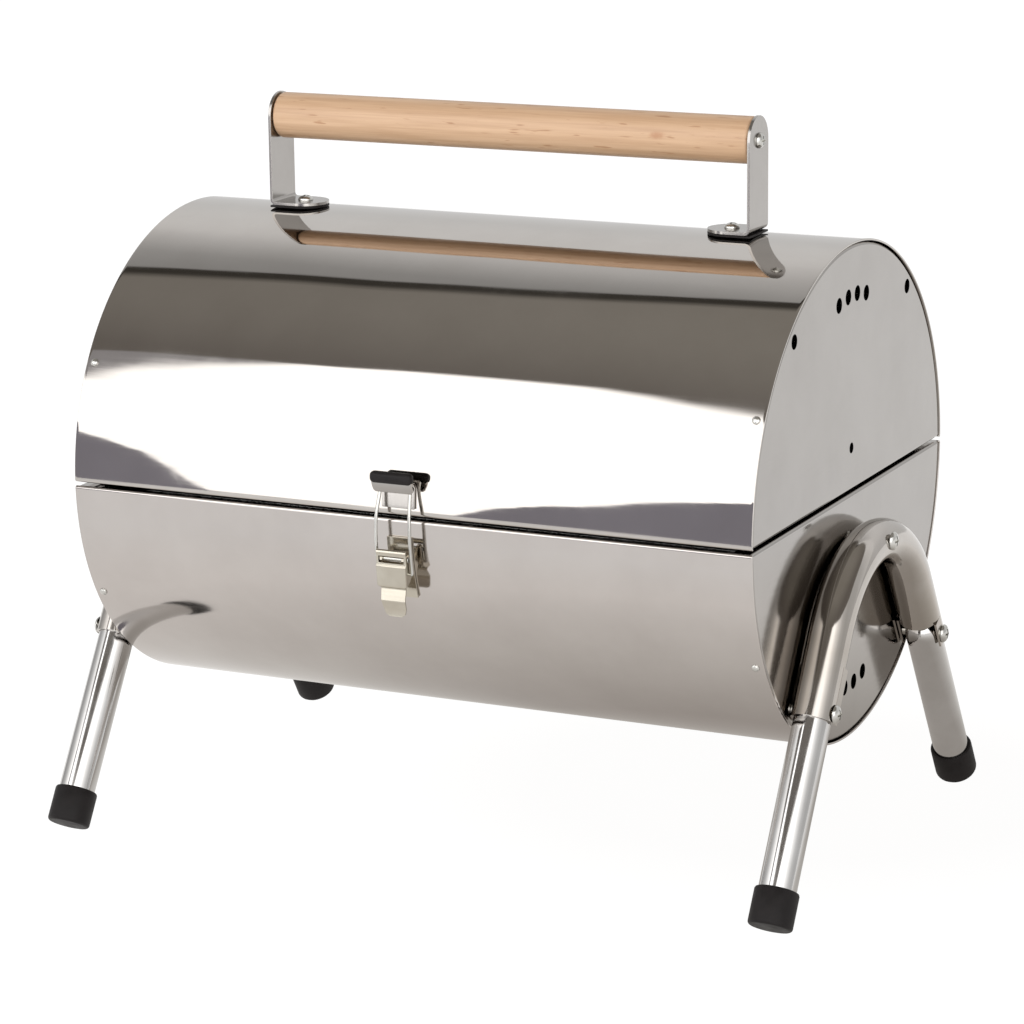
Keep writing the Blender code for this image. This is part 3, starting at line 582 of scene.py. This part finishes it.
def sleeve_box(name, side, end_name, end, low, high, x_low, x_high):
    """A box in the sleeve's directions: (down, inward) from low to high, across from x_low to x_high."""
    down, inward = leg_axes(end)
    pivot = Vector((side * ARCH_X, PIVOT[end_name].y, PIVOT[end_name].z))
    made = box(name, (x_low, low[1], low[0]), (x_high, high[1], high[0]))
    turn = Matrix((Vector((1, 0, 0)), inward, down)).transposed().to_4x4()
    place(made, Matrix.Translation(pivot) @ turn)
    bm = bmesh.new()
    bm.from_mesh(made.data)
    bmesh.ops.recalc_face_normals(bm, faces=bm.faces)
    bm.to_mesh(made.data)
    bm.free()
    return made


def leg_arch(name, side):
    made = wire(name + "_tube", arch_path(side, SLEEVE_TAIL), TUBE_RADIUS, resolution=14)
    cheeks = []
    for end_name, end in ENDS:
        for hand in (-1, 1):
            wall = sorted((hand * (SLOT_HALF - 0.0002), hand * (SLOT_HALF + 0.00115)))
            low, high = (-SLOT_LENGTH[end_name], -0.001), (SLEEVE_TAIL - 0.0001, 0.0055)
            cheeks.append(sleeve_box("cheek", side, end_name, end, low, high, *wall))
    combine(made, cheeks, "UNION")
    cutters = [wire("bore", arch_path(side, 0.02), TUBE_BORE, resolution=14)]
    for end_name, end in ENDS:
        low, high = (-SLOT_LENGTH[end_name], 0), (0.01, 0.014)
        cutters.append(sleeve_box("slot", side, end_name, end, low, high, -SLOT_HALF, SLOT_HALF))
    combine(made, cutters)
    return dress(made, "tube", "firebox", name, degrees=28)


def leg_pieces(end_name, end, side_name, side):
    where = f"{end_name}_{side_name}"
    body = f"leg_{where}"
    length = (PIVOT[end_name].z - CAP_RADIUS * math.sin(LEG_LEAN) + 0.0008) / math.cos(LEG_LEAN)
    pivot = Vector((side * ARCH_X, PIVOT[end_name].y, PIVOT[end_name].z))
    turn = Matrix.Translation(pivot) @ Matrix.Rotation(end * LEG_LEAN, 4, "X")
    top = [(r, z) for z, r in arc((0, 0), LEG_RADIUS, 0, 90, 10)]
    inner = LEG_RADIUS - LEG_WALL
    profile = [(0, LEG_RADIUS), *top[1:], (LEG_RADIUS, -length + 0.003), (inner, -length + 0.003)]
    profile += [(inner, 0), (0, inner)]
    leg = place(turned(f"leg_tube_{where}_polished", profile, 64), turn)
    dress(leg, "leg", body, f"leg_tube_{where}")
    lip, mouth, edge = CAP_LENGTH - length, LEG_RADIUS + 0.0002, 0.0016
    outer = [(0, -length), (CAP_RADIUS - edge, -length)]
    outer += arc((CAP_RADIUS - edge, -length + edge), edge, -90, 0, 5)[1:]
    outer += [(CAP_RADIUS, lip - 0.0012), (CAP_RADIUS - 0.0004, lip - 0.0003), (CAP_RADIUS - 0.001, lip)]
    outer += [(mouth, lip), (mouth, 0.0026 - length), (0, 0.0026 - length)]
    cap = place(turned(f"foot_cap_{where}_moulded", outer, 56), turn)
    combine(cap, [box("floor_cut", (-0.4, -0.3, -0.05), (0.4, 0.3, 0.0001))])
    dress(cap, "black", body, f"foot_cap_{where}")


def domed_head(name, at, towards, radius, rise, shank, reach):
    """A domed screw with a cross recess. towards points out of the head."""
    dome = [(radius * math.sin(t), rise * math.cos(t)) for t in [math.pi / 2 * i / 10 for i in range(11)]]
    profile = [*dome, (radius, -0.0002), (shank, -0.0002), (shank, -reach), (0, -reach)]
    made = turned(name, profile, 40)
    arm, half = radius * 0.55, radius * 0.11
    cross = [
        box("arm", (-arm, -half, rise * 0.45), (arm, half, rise * 1.5)),
        box("arm", (-half, -arm, rise * 0.45), (half, arm, rise * 1.5)),
    ]
    combine(made, cross)
    turn = Vector(towards).to_track_quat("Z", "Y").to_matrix().to_4x4()
    return place(made, Matrix.Translation(Vector(at)) @ turn)


def nut(name, at, towards, radius, hole, height, body):
    bm = bmesh.new()
    bmesh.ops.create_cone(bm, cap_ends=True, segments=6, radius1=radius, radius2=radius, depth=height)
    made = object_of(name, bm)
    combine(made, [rod("thread", (0, 0, -height), (0, 0, height), hole, 24)])
    turn = Vector(towards).to_track_quat("Z", "Y").to_matrix().to_4x4()
    place(made, Matrix.Translation(Vector(at)) @ turn)
    return dress(made, "bolt", body, bevel=0.0003)


def bolts(side_name, side):
    nut_thick = 0.0034
    nut_x = side * (PLATE_FACE - SHEET - 0.0016 - 0.001)
    spots = []
    for end_name, _ in ENDS:
        pivot = PIVOT[end_name]
        spots.append((f"leg_pivot_bolt_{end_name}_{side_name}", pivot.y, pivot.z, BOLT_SHANK))
    spots.append((f"arch_bolt_{side_name}", 0, PARTING - APEX_DROP, APEX_SHANK))
    for name, y, z, shank in spots:
        low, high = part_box(name)
        outer = max(abs(low.x), abs(high.x)) - SCREW_RISE
        reach = outer - min(abs(low.x), abs(high.x))
        at = (side * outer, y, z)
        bolt = domed_head(name + "_head", at, (side, 0, 0), BOLT_HEAD, SCREW_RISE, shank, reach)
        dress(bolt, "bolt", "firebox", name)
        hole = shank + 0.0001
        nut(name + "_nut", (nut_x, y, z), (side, 0, 0), shank * 1.85, hole, nut_thick, "firebox")


# ---------------------------------------------------------------- handle


def strip(name, stations, thickness, kind, body, *nodes, bevel=0.0003, offset=-1.0):
    """A bent flat strip through stations of (x, z, half width), across Y."""
    rows = []
    for x, z, half in stations:
        rows.append([(x, half * share, z) for share in ACROSS])
    made = surface(name, rows)
    thicken(made, thickness, offset)
    return dress(made, kind, body, *nodes, bevel=bevel)


def round_foot(inner_end, half, z):
    """Stations of a strip's half-round end that starts at inner_end."""
    return [(inner_end + half * (1 - math.cos(t)), z, max(half * math.sin(t), TIP_HALF)) for t in QUARTER]


def bracket(side_name, side):
    """A flat strip: a round foot on the lid, a bend, and an upright whose round top is beside the bar."""
    half, bend = BRACKET_HIGH.y, 0.0032
    outer, low, top = BRACKET_HIGH.x, BRACKET_LOW.z, BRACKET_HIGH.z
    stations = round_foot(BRACKET_LOW.x, half, low)
    stations += [(x, z, half) for x, z in arc((outer - bend, low + bend), bend, -90, 0, 6)]
    for t in QUARTER:
        stations.append((outer, top - half + half * math.sin(t), max(half * math.cos(t), TIP_HALF)))
    stations = [(side * x, z, width) for x, z, width in stations]
    name = f"handle_bracket_{side_name}"
    strip(name + "_strip", stations, STRIP_THICK, "strip", "lid", name, offset=-side)
    stations = [*round_foot(PAD_LOW.x, half, PAD_HIGH.z), (PAD_HIGH.x, PAD_HIGH.z, half)]
    stations = [(side * x, z, width) for x, z, width in stations]
    name = f"handle_pad_{side_name}"
    thick = PAD_HIGH.z - PAD_LOW.z
    strip(name + "_moulded", stations, thick, "black", "lid", name, bevel=0.0005, offset=side)


def handle():
    half, radius = BAR_HIGH.x, BAR_HIGH.y
    middle = (BAR_LOW.z + BAR_HIGH.z) / 2
    straight = half - BAR_EDGE
    round_end = arc((radius - BAR_EDGE, straight), BAR_EDGE, 90, 0, 5)
    stretch = [straight - 2 * straight * i / 24 for i in range(1, 24)]
    profile = [(0, half), *round_end, *[(radius, z) for z in stretch]]
    profile += [(r, -z) for r, z in reversed(round_end)] + [(0, -half)]
    bar = turned("handle_bar_turned", profile, 72)
    place(bar, Matrix.Translation((0, 0, middle)) @ Matrix.Rotation(math.radians(90), 4, "Y"))
    dress(bar, "wood", "lid", "handle_bar")
    for side_name, side in SIDES:
        bracket(side_name, side)
        name = f"handle_end_screw_{side_name}"
        low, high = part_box(name)
        at = (side * (max(abs(low.x), abs(high.x)) - SCREW_RISE), 0, middle)
        wood_screw(name, at, (side, 0, 0), 0.006)
        name = f"handle_foot_screw_{side_name}"
        low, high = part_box(name)
        at = ((low.x + high.x) / 2, 0, high.z - SCREW_RISE)
        wood_screw(name, at, (0, 0, 1), 0.012)
        under = (at[0], 0, LID_HIGH.z - SHEET - 0.0016)
        nut(f"handle_foot_nut_{side_name}", under, (0, 0, 1), 0.0038, 0.0021, 0.0025, "lid")


def wood_screw(name, at, towards, reach):
    screw = domed_head(name + "_head", at, towards, WOOD_SCREW_HEAD, SCREW_RISE, WOOD_SCREW_SHANK, reach)
    dress(screw, "bolt", "lid", name)


# ---------------------------------------------------------------- latch and hinges


def across(name, stations, thickness, kind, body, *nodes, offset=-1.0, cutters=()):
    """A bent strip across X through stations of (out to the front, rise from the parting, half width)."""
    rows = []
    for out, rise, half in stations:
        rows.append([(half * share, -out, PARTING + rise) for share in ACROSS])
    made = surface(name, rows)
    thicken(made, thickness, offset)
    if cutters:
        combine(made, cutters)
    return dress(made, kind, body, *nodes, bevel=0.0002)


def lever():
    """The lever: rolled top edge, window over the pin, face plate, narrower tongue, and a cheek each side."""
    half, face = LEVER_HIGH.x, -LEVER_LOW.y
    top, bottom = LEVER_HIGH.z - PARTING, LEVER_LOW.z - PARTING
    ridge = top + LEVER_RAISED
    roll = arc((face - LEVER_ROLL, ridge - LEVER_ROLL), LEVER_ROLL, 85, -40, 10)
    stations = [(out, rise, half) for out, rise in roll]
    stations += [(face - back, ridge - down, half * share) for back, down, share in LEVER_FACE]
    stations += [(face - back, bottom + up, half * share) for back, up, share in LEVER_TONGUE]
    edge = half - 0.0012
    low = (-edge, -face - 0.004, PARTING + ridge - 0.0068)
    high = (edge, -face + 0.006, PARTING + ridge - 0.0034)
    cutters = [box("window", low, high)]
    name = "latch_lever"
    across("latch_lever_face", stations, 0.0009, "nickel", name, name, offset=1.0, cutters=cutters)
    outline = [(face - 0.0006, top - 0.0025), (0.1393, top - 0.0020), (0.1382, -0.0285)]
    outline += [(0.1405, -0.0315), (face - 0.0008, -0.0330)]
    for side_name, side in SIDES:
        plate_piece(f"latch_lever_cheek_{side_name}", outline, side * (half - 0.0006), 0.0011, name)


def latch():
    lever()
    low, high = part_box("latch_pivot_pin")
    centre = (low + high) / 2
    start = (low.x - PIN_PROUD, centre.y, centre.z)
    pin = rod("latch_pin_rod", start, (high.x + PIN_PROUD, centre.y, centre.z), PIN_RADIUS)
    dress(pin, "bolt", "firebox", "latch_pivot_pin", bevel=0.0003)
    bail_wire()
    catch_pieces()
    base = frame["nodes"]["latch_base"]
    base.data.materials.clear()
    base.data.materials.append(MATERIALS["nickel"])
    soften(base, 0.0002)


def plate_piece(name, outline, x, thickness, body):
    bm = bmesh.new()
    points = [bm.verts.new((x - thickness / 2, -out, PARTING + rise)) for out, rise in outline]
    made = bm.faces.new(points)
    moved = bmesh.ops.extrude_face_region(bm, geom=[made])
    verts = [item for item in moved["geom"] if isinstance(item, bmesh.types.BMVert)]
    bmesh.ops.translate(bm, vec=(thickness, 0, 0), verts=verts)
    bmesh.ops.recalc_face_normals(bm, faces=bm.faces)
    return dress(object_of(name, bm), "nickel", body, bevel=0.0003)


def bail_wire():
    """Half the loop from its foot in the lever, up over the parting edge, to the bar in the catch."""
    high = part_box("latch_bail")[1]
    side = high.x - BAIL_WIRE
    hook = JOINTS["latch_bail_swing"]["pos_m"]
    foot_out, foot_rise = -hook[1], hook[2] - PARTING
    top_out, top_rise = BAIL_TOP_OUT, high.z - BAIL_WIRE - PARTING
    half = [(0.0069, foot_out, foot_rise), (side - 0.0010, foot_out, foot_rise)]
    half += [(side, foot_out, foot_rise), (side, foot_out, foot_rise + 0.0012)]
    half += [(side, 0.1423, -0.014), (side, 0.1427, -0.006), (side - 0.0002, 0.1423, 0.002)]
    half += [(0.0085, 0.1397, 0.0110), (BAIL_TOP_HALF, top_out, 0.0148)]
    half += [(BAIL_TOP_HALF, top_out, top_rise - 0.0012), (BAIL_TOP_HALF, top_out, top_rise)]
    half += [(0.0072, top_out, top_rise), (0.004, top_out, top_rise)]
    path = half + [(-x, out, rise) for x, out, rise in reversed(half)]
    points = [(x, -out, PARTING + rise) for x, out, rise in path]
    made = wire("latch_bail_wire", points, BAIL_WIRE, resolution=6, smooth=True)
    dress(made, "bolt", "latch_bail", "latch_bail", degrees=50)


def catch_pieces():
    """The plate on the lid with its tongue, the lip, and the black moulding on the lip."""
    front = -CATCH_LOW.y
    rise_low, rise_high = 0.005, CATCH_TONGUE - 0.0020
    stations = []
    for i in range(7):
        rise = rise_low + (rise_high - rise_low) * i / 6
        stations.append((barrel_out(rise, 0.0015), rise, 0.009))
    bend = barrel_out(CATCH_TONGUE, 0.0015)
    stations += [(bend + 0.0004, CATCH_TONGUE - 0.0007, 0.0080), (bend + 0.0016, CATCH_TONGUE, 0.0071)]
    stations.append((front - 0.0016, CATCH_TONGUE, 0.0071))
    across("latch_catch_strip", stations, 0.0011, "strip", "lid", "latch_catch")
    lip = [(front - 0.0024, 0.0136, 0.0098), (front - 0.0018, 0.0146, 0.0108)]
    lip += [(front - 0.0009, 0.0164, 0.0110), (front - 0.0001, 0.0182, 0.0110), (front, 0.0230, 0.0110)]
    across("latch_catch_lip", lip, 0.0011, "plate", "lid")
    low = COVER_LOW + Vector((0.0004, 0, 0.0009))
    cover = box("latch_catch_cover_moulded", low, COVER_HIGH - Vector((0.0004, 0, 0)))
    step = cover.modifiers.new("round", "BEVEL")
    step.width = 0.0023
    step.segments = 6
    apply_modifiers(cover)
    low, high = (-0.0111, -0.1436, COVER_LOW.z - 0.001), (0.0111, -0.1417, COVER_LOW.z + 0.0054)
    combine(cover, [box("slot", low, high)])
    dress(cover, "black", "lid", "latch_catch_cover", degrees=40)


def hinge(side_name, side):
    """A butt hinge: a curved leaf on each half, three knuckles, six rivets and a headed pin."""
    x = side * HINGE_X
    axis = Vector((x, JOINTS["lid_hinge"]["pos_m"][1], PARTING))
    for part, up, body in (("lower", -1, "firebox"), ("upper", 1, "lid")):
        hinge_leaf(part, up, body, side_name, x)
        split = MIDDLE_KNUCKLE
        outer = [(-LEAF_HALF, -split - 0.0003), (split + 0.0003, LEAF_HALF)]
        for number, (low, high) in enumerate(outer if up < 0 else [(-split, split)]):
            start, end = axis + Vector((low, 0, 0)), axis + Vector((high, 0, 0))
            knuckle = rod(f"hinge_{part}_knuckle_{side_name}_{number}", start, end, HINGE_KNUCKLE, 40)
            past = Vector((0.01, 0, 0))
            combine(knuckle, [rod("bore", start - past, end + past, 0.0016)])
            dress(knuckle, "nickel", body, bevel=0.0002)
        hinge_rivets(part, up, body, side_name, x)
    pin_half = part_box(f"hinge_pin_{side_name}")[1].x - x
    profile = [(0, pin_half), (0.0018, pin_half), (0.0022, pin_half - 0.0004), (0.0022, pin_half - 0.001)]
    profile += [(0.0014, pin_half - 0.001)]
    profile = profile + [(r, -z) for r, z in reversed(profile)]
    pin = turned(f"hinge_pin_{side_name}_turned", profile, 32)
    place(pin, Matrix.Translation(axis) @ Matrix.Rotation(math.radians(90), 4, "Y"))
    dress(pin, "bolt", "firebox", f"hinge_pin_{side_name}")


def hinge_leaf(part, up, body, side_name, x):
    rows = []
    for i in range(9):
        rise = 0.0018 + (HINGE_LEAF - 0.0018) * i / 8
        y, z = barrel_out(rise, LEAF_OFFSET), PARTING + up * rise
        rows.append([(x + LEAF_HALF * share, y, z) for share in ACROSS])
    leaf = surface(f"hinge_{part}_leaf_{side_name}_sheet", rows, flip=up > 0)
    thicken(leaf)
    dress(leaf, "nickel", body, f"hinge_{part}_leaf_{side_name}", bevel=0.0003)


def hinge_rivets(part, up, body, side_name, x):
    rise = 0.013
    y = barrel_out(rise, LEAF_OFFSET)
    out = Vector((0, y / HALF_DEPTH**2, up * rise / HALF_HEIGHT**2))
    profile = [(0, 0.0009), (0.0009, 0.0008), (0.0016, 0.0004), (0.0019, -0.0001), (0, -0.0001)]
    for number in (0, 10, 20):
        at = Vector((x + (number - 10) * 0.001, y, PARTING + up * rise))
        head = turned(f"hinge_{part}_rivet_{side_name}_{number}", profile, 24)
        place(head, Matrix.Translation(at) @ out.to_track_quat("Z", "Y").to_matrix().to_4x4())
        dress(head, "bolt", body)


# ---------------------------------------------------------------- grates


def cooking_grate(prefix, body):
    """A welded wire grid: a round-cornered frame, bars along the barrel and cross wires under them."""
    name = f"{prefix}_cooking_grate"
    low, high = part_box(name)
    middle = (low.z + high.z) / 2
    frame_radius, bar_radius, corner, count = 0.0015, 0.00115, 0.014, 18
    half_x, half_y = high.x - frame_radius, high.y - frame_radius
    loop = []
    for number, (sx, sy) in enumerate(((1, 1), (-1, 1), (-1, -1), (1, -1))):
        centre = (sx * (half_x - corner), sy * (half_y - corner))
        loop += [(x, y, middle) for x, y in arc(centre, corner, 90 * number, 90 * number + 90, 8)]
    parts = [wire(name + "_wires", loop, frame_radius, cyclic=True, resolution=4)]
    z = middle + 0.0002
    for i in range(count):
        y = -half_y + 2 * half_y * (i + 1) / (count + 1)
        parts.append(wire("bar", [(-half_x, y, z), (half_x, y, z)], bar_radius, resolution=3))
    z = middle - 0.0021
    for x in (-half_x / 3, half_x / 3):
        parts.append(wire("cross", [(x, -half_y, z), (x, half_y, z)], bar_radius, resolution=3))
    made = parts[0]
    with bpy.context.temp_override(
        active_object=made, selected_editable_objects=parts, selected_objects=parts, object=made
    ):
        bpy.ops.object.join()
    dress(made, "wire", body, name, degrees=50)


def dressed_nodes():
    """CAD nodes whose shape stays: they get their material and softened edges."""
    for prefix in ("lower", "lid"):
        names = [f"{prefix}_charcoal_grate"] + [f"{prefix}_grate_rail_{side}" for side, _ in SIDES]
        for name in names:
            part = frame["nodes"][name]
            part.data.materials.clear()
            part.data.materials.append(MATERIALS["strip"])
            soften(part, 0.0002, 1)


# ---------------------------------------------------------------- studio


# Brightness of the studio's walls by compass angle from the front, in degrees, positive to the right
WALLS = (
    (-180, 1.0),
    (-138, 1.0),
    (-122, 0.72),
    (-98, 0.66),
    (-80, 0.95),
    (-60, 1.5),
    (-46, 2.4),
    (50, 2.4),
    (66, 1.5),
    (84, 0.85),
    (100, 0.66),
    (122, 0.70),
    (140, 1.0),
    (180, 1.0),
)
# Height of the bright panels' top edge by the same angle, in degrees
PANEL_TOP = (
    (-180, 60),
    (-110, 40),
    (-60, 35),
    (-46, 36),
    (-43.5, 44),
    (-41, 47.5),
    (-38, 48.5),
    (-35, 47.5),
    (-32, 45.5),
    (-29, 43),
    (-14, 41.5),
    (4, 41.5),
    (16, 44),
    (45, 43),
    (70, 36),
    (100, 30),
    (180, 60),
)
# How the backdrop fades towards the ceiling, by the sine of the angle above the horizon
BACK_FADE = (
    (0, 0.72),
    (0.3, 0.78),
    (0.46, 0.88),
    (0.6, 0.92),
    (0.66, 0.9),
    (0.76, 0.76),
    (0.85, 0.6),
    (1, 0.45),
)
CEILING, CEILING_TOP = (0.215, 0.197, 0.18), (0.33, 0.31, 0.28)
SEAM, CORNER = (0.06, 0.055, 0.048), (0.42, 0.41, 0.425)
# Colour of the floor's painted shadow, a darker pool under the grill, by the distance from its middle
FLOOR_SHADOW = (
    (0.12, (0.46, 0.43, 0.40)),
    (0.24, (0.72, 0.70, 0.67)),
    (0.40, (0.97, 0.95, 0.93)),
    (0.6, (1, 1, 1)),
)
# Outline of the low grey flag in front, as (x, height of its top)
FLAG = (
    (-1.20, 0.50),
    (-0.80, 0.46),
    (-0.734, 0.41),
    (-0.69, 0.35),
    (-0.651, 0.27),
    (-0.630, 0.17),
    (-0.615, 0.06),
    (-0.607, 0.001),
    (-0.400, 0.001),
    (-0.390, 0.03),
    (-0.360, 0.10),
    (-0.314, 0.16),
    (-0.277, 0.19),
    (-0.224, 0.27),
    (-0.163, 0.33),
    (-0.10, 0.35),
    (0.2, 0.35),
)


def lookup(tree, value, low, high, stops, top=3.0):
    """A smooth curve through (value, result) stops, for values from low to high and results up to top."""
    fraction = node(tree, "ShaderNodeMapRange")
    fraction.inputs["From Min"].default_value = low
    fraction.inputs["From Max"].default_value = high
    tree.links.new(value, fraction.inputs["Value"])
    points = [((at - low) / (high - low), (level / top,) * 3) for at, level in stops]
    colour = ramp(tree, fraction.outputs["Result"], points)
    return math_node(tree, "MULTIPLY", colour, top)


def blend_colour(tree, factor, a, b):
    mix = node(tree, "ShaderNodeMix", data_type="RGBA")
    mix.clamp_factor = True
    tree.links.new(factor, mix.inputs["Factor"])
    for socket, colour in ((mix.inputs["A"], a), (mix.inputs["B"], b)):
        if isinstance(colour, tuple):
            socket.default_value = (*colour, 1)
        else:
            tree.links.new(colour, socket)
    return mix.outputs["Result"]


def studio_world():
    """A white studio as a polished barrel shows it: bright panels in front, grey sides, a dark ceiling."""
    world = bpy.data.worlds.new("studio")
    bpy.context.scene.world = world
    world.use_nodes = True
    tree = world.node_tree
    tree.nodes.clear()
    source = node(tree, "ShaderNodeTexCoord")
    parts = node(tree, "ShaderNodeSeparateXYZ")
    tree.links.new(source.outputs["Generated"], parts.inputs["Vector"])
    x, y, z = (parts.outputs[axis] for axis in "XYZ")
    front = math_node(tree, "MULTIPLY", y, -1)
    turn = math_node(tree, "MULTIPLY", math_node(tree, "ARCTAN2", x, front), 180 / math.pi)
    rise = math_node(tree, "MULTIPLY", math_node(tree, "ARCSINE", z, 0), 180 / math.pi)
    walls = lookup(tree, turn, -180, 180, WALLS)
    back_wall = math_node(tree, "MULTIPLY", walls, lookup(tree, z, 0, 1, BACK_FADE))
    # The bright panels end at their top edge, and the ceiling starts there
    edge = lookup(tree, turn, -180, 180, PANEL_TOP, 90)
    over = span(tree, math_node(tree, "SUBTRACT", rise, edge), -0.8, 1.2, 0, 1)
    ceiling = ramp(tree, z, ((0.72, CEILING), (0.93, CEILING_TOP)))
    # The left panel's upper corner is grey beyond a leaning edge
    high = math_node(tree, "MAXIMUM", rise, 30)
    lean = math_node(tree, "MULTIPLY", math_node(tree, "SUBTRACT", high, 33), 0.39)
    beside = span(tree, math_node(tree, "ADD", turn, lean), -38.0, -37.2, 1, 0)
    within = math_node(tree, "MULTIPLY", span(tree, turn, -48, -46, 0, 1), span(tree, rise, 29, 33, 0, 1))
    panel = blend_colour(tree, math_node(tree, "MULTIPLY", beside, within), walls, CORNER)
    front_room = blend_colour(tree, over, panel, ceiling)
    # A dark seam runs askew across the ceiling, and the back wall follows it
    slant = math_node(tree, "ADD", y, math_node(tree, "MULTIPLY", x, -0.76))
    depth = math_node(tree, "ADD", slant, math_node(tree, "MULTIPLY", z, -0.565))
    seam = span(tree, depth, -0.055, 0.012, 0, 1)
    seamed = blend_colour(tree, math_node(tree, "MULTIPLY", seam, over), front_room, SEAM)
    whole = blend_colour(tree, span(tree, depth, 0.046, 0.066, 0, 1), seamed, back_wall)
    seen = node(tree, "ShaderNodeBackground")
    seen.inputs["Color"].default_value = (1, 1, 1, 1)
    lit = node(tree, "ShaderNodeBackground")
    tree.links.new(whole, lit.inputs["Color"])
    path = node(tree, "ShaderNodeLightPath")
    choose = node(tree, "ShaderNodeMixShader")
    tree.links.new(path.outputs["Is Camera Ray"], choose.inputs["Fac"])
    tree.links.new(lit.outputs["Background"], choose.inputs[1])
    tree.links.new(seen.outputs["Background"], choose.inputs[2])
    output = node(tree, "ShaderNodeOutputWorld")
    tree.links.new(choose.outputs["Shader"], output.inputs["Surface"])


def glowing(name, base, colour, strength):
    """A material that gives its own even light, as white paper or a lit panel does in a studio."""
    made, tree, shader = material(name)
    shader.inputs["Base Color"].default_value = (base, base, base, 1)
    shader.inputs["Emission Color"].default_value = (*colour, 1)
    shader.inputs["Emission Strength"].default_value = strength
    return made, tree, shader


def sheet_of_floor(name, z, half, segments):
    bm = bmesh.new()
    bmesh.ops.create_grid(bm, x_segments=segments, y_segments=segments, size=half)
    made = object_of(name, bm)
    made.location.z = z
    return made


def stage(piece, look, seen=False):
    piece.visible_camera = seen
    piece.data.materials.append(look)


def floor_painted_shadow():
    """A soft painted shadow on the paper under the grill: a glowing sheet, darker towards its middle, which
    only the grill's reflections show.
    """
    look, tree, shader = glowing("floor_painted_shadow", 0.02, (1, 1, 1), 1.0)
    shader.inputs["Roughness"].default_value = 1
    source = node(tree, "ShaderNodeTexCoord")
    squeeze = node(tree, "ShaderNodeMapping")
    squeeze.inputs["Location"].default_value = (-0.10, -0.09, 0)
    squeeze.inputs["Scale"].default_value = (0.85, 1.0, 0)
    length = node(tree, "ShaderNodeVectorMath", operation="LENGTH")
    tree.links.new(source.outputs["Object"], squeeze.inputs["Vector"])
    tree.links.new(squeeze.outputs["Vector"], length.inputs[0])
    # The painted shadow: the glow darkens towards the middle under the grill
    tree.links.new(ramp(tree, length.outputs["Value"], FLOOR_SHADOW), shader.inputs["Emission Color"])
    stage(sheet_of_floor("studio_floor_pool", -0.0003, 0.8, 40), look)


def floor():
    """White paper with its painted shadow under the grill, and in front a low white panel that leans back
    behind a grey flag.
    """
    paper, _, shader = glowing("white_floor", 0.14, (1, 1, 1), 0.90)
    shader.inputs["Roughness"].default_value = 0.9
    stage(sheet_of_floor("studio_floor", -0.0006, 12, 2), paper, seen=True)
    floor_painted_shadow()
    left, right, near, far, height = -2.2, 0.9, -1.04, -1.40, 0.62
    rows = [[(left, near, 0), (right, near, 0)], [(left, far, height), (right, far, height)]]
    white = glowing("low_panel", 0.02, (1, 1, 1), 2.3)[0]
    stage(surface("studio_low_panel", rows), white)
    rows = [[(x, -1.0, 0) for x, _ in FLAG], [(x, -1.0, top) for x, top in FLAG]]
    grey = glowing("grey_flag", 0.02, (0.27, 0.26, 0.31), 1)[0]
    stage(surface("studio_flag", rows), grey)


def lights():
    """One large soft light from the front left for the wood and plastic. Polished steel doesn't show it."""
    data = bpy.data.lights.new("soft_key", "AREA")
    data.shape = "RECTANGLE"
    data.size, data.size_y = 1.8, 1.2
    data.energy = 9
    key = new_object("soft_key", data)
    key.location = (-0.6, -1.7, 1.9)
    aim = Vector((0, 0, 0.2)) - key.location
    key.rotation_euler = aim.to_track_quat("-Z", "Y").to_euler()
    key.visible_glossy = False


def camera():
    """Right of the front and a little above, with the long lens of a product shot and a slight roll."""
    azimuth, elevation, roll = math.radians(25.533), math.radians(13.027), math.radians(0.71)
    distance, aim_down, aim_left = 1.988, 0.0271, 0.0026
    right = Vector((math.cos(azimuth), math.sin(azimuth), 0))
    back = Vector((math.sin(azimuth), -math.cos(azimuth), 0)) * math.cos(elevation)
    back.z = math.sin(elevation)
    up = back.cross(right)
    centre = Vector((0, 0, PARTING))
    place_at = centre + back * distance
    aim = centre - up * aim_down - right * aim_left
    back = (place_at - aim).normalized()
    right = Vector((0, 0, 1)).cross(back).normalized()
    up = back.cross(right)
    tilted = right * math.cos(roll) - up * math.sin(roll)
    raised = up * math.cos(roll) + right * math.sin(roll)
    data = bpy.data.cameras.new("camera")
    data.sensor_width = 36
    data.lens = 133
    made = new_object("camera", data)
    turn = Matrix((tilted, raised, back)).transposed().to_4x4()
    made.matrix_world = Matrix.Translation(place_at) @ turn
    bpy.context.scene.camera = made


def build():
    for prefix, up, body in HALVES:
        shell(f"{prefix}_shell", up, prefix, body)
    for prefix, up, body in HALVES:
        cooking_grate(prefix, body)
        for side_name, side in SIDES:
            end_plate(f"{prefix}_end_plate_{side_name}", side, up, body)
            for end_name, end in ENDS:
                rivet(f"{prefix}_rivet_{side_name}_{end_name}", side, end, up, body)
    for side_name, side in SIDES:
        leg_arch(f"leg_arch_{side_name}", side)
        bolts(side_name, side)
        hinge(side_name, side)
        for end_name, end in ENDS:
            leg_pieces(end_name, end, side_name, side)
    handle()
    latch()
    dressed_nodes()
    floor()
    lights()
    studio_world()
    camera()
    scene = bpy.context.scene
    scene.view_settings.view_transform = "Standard"


build()
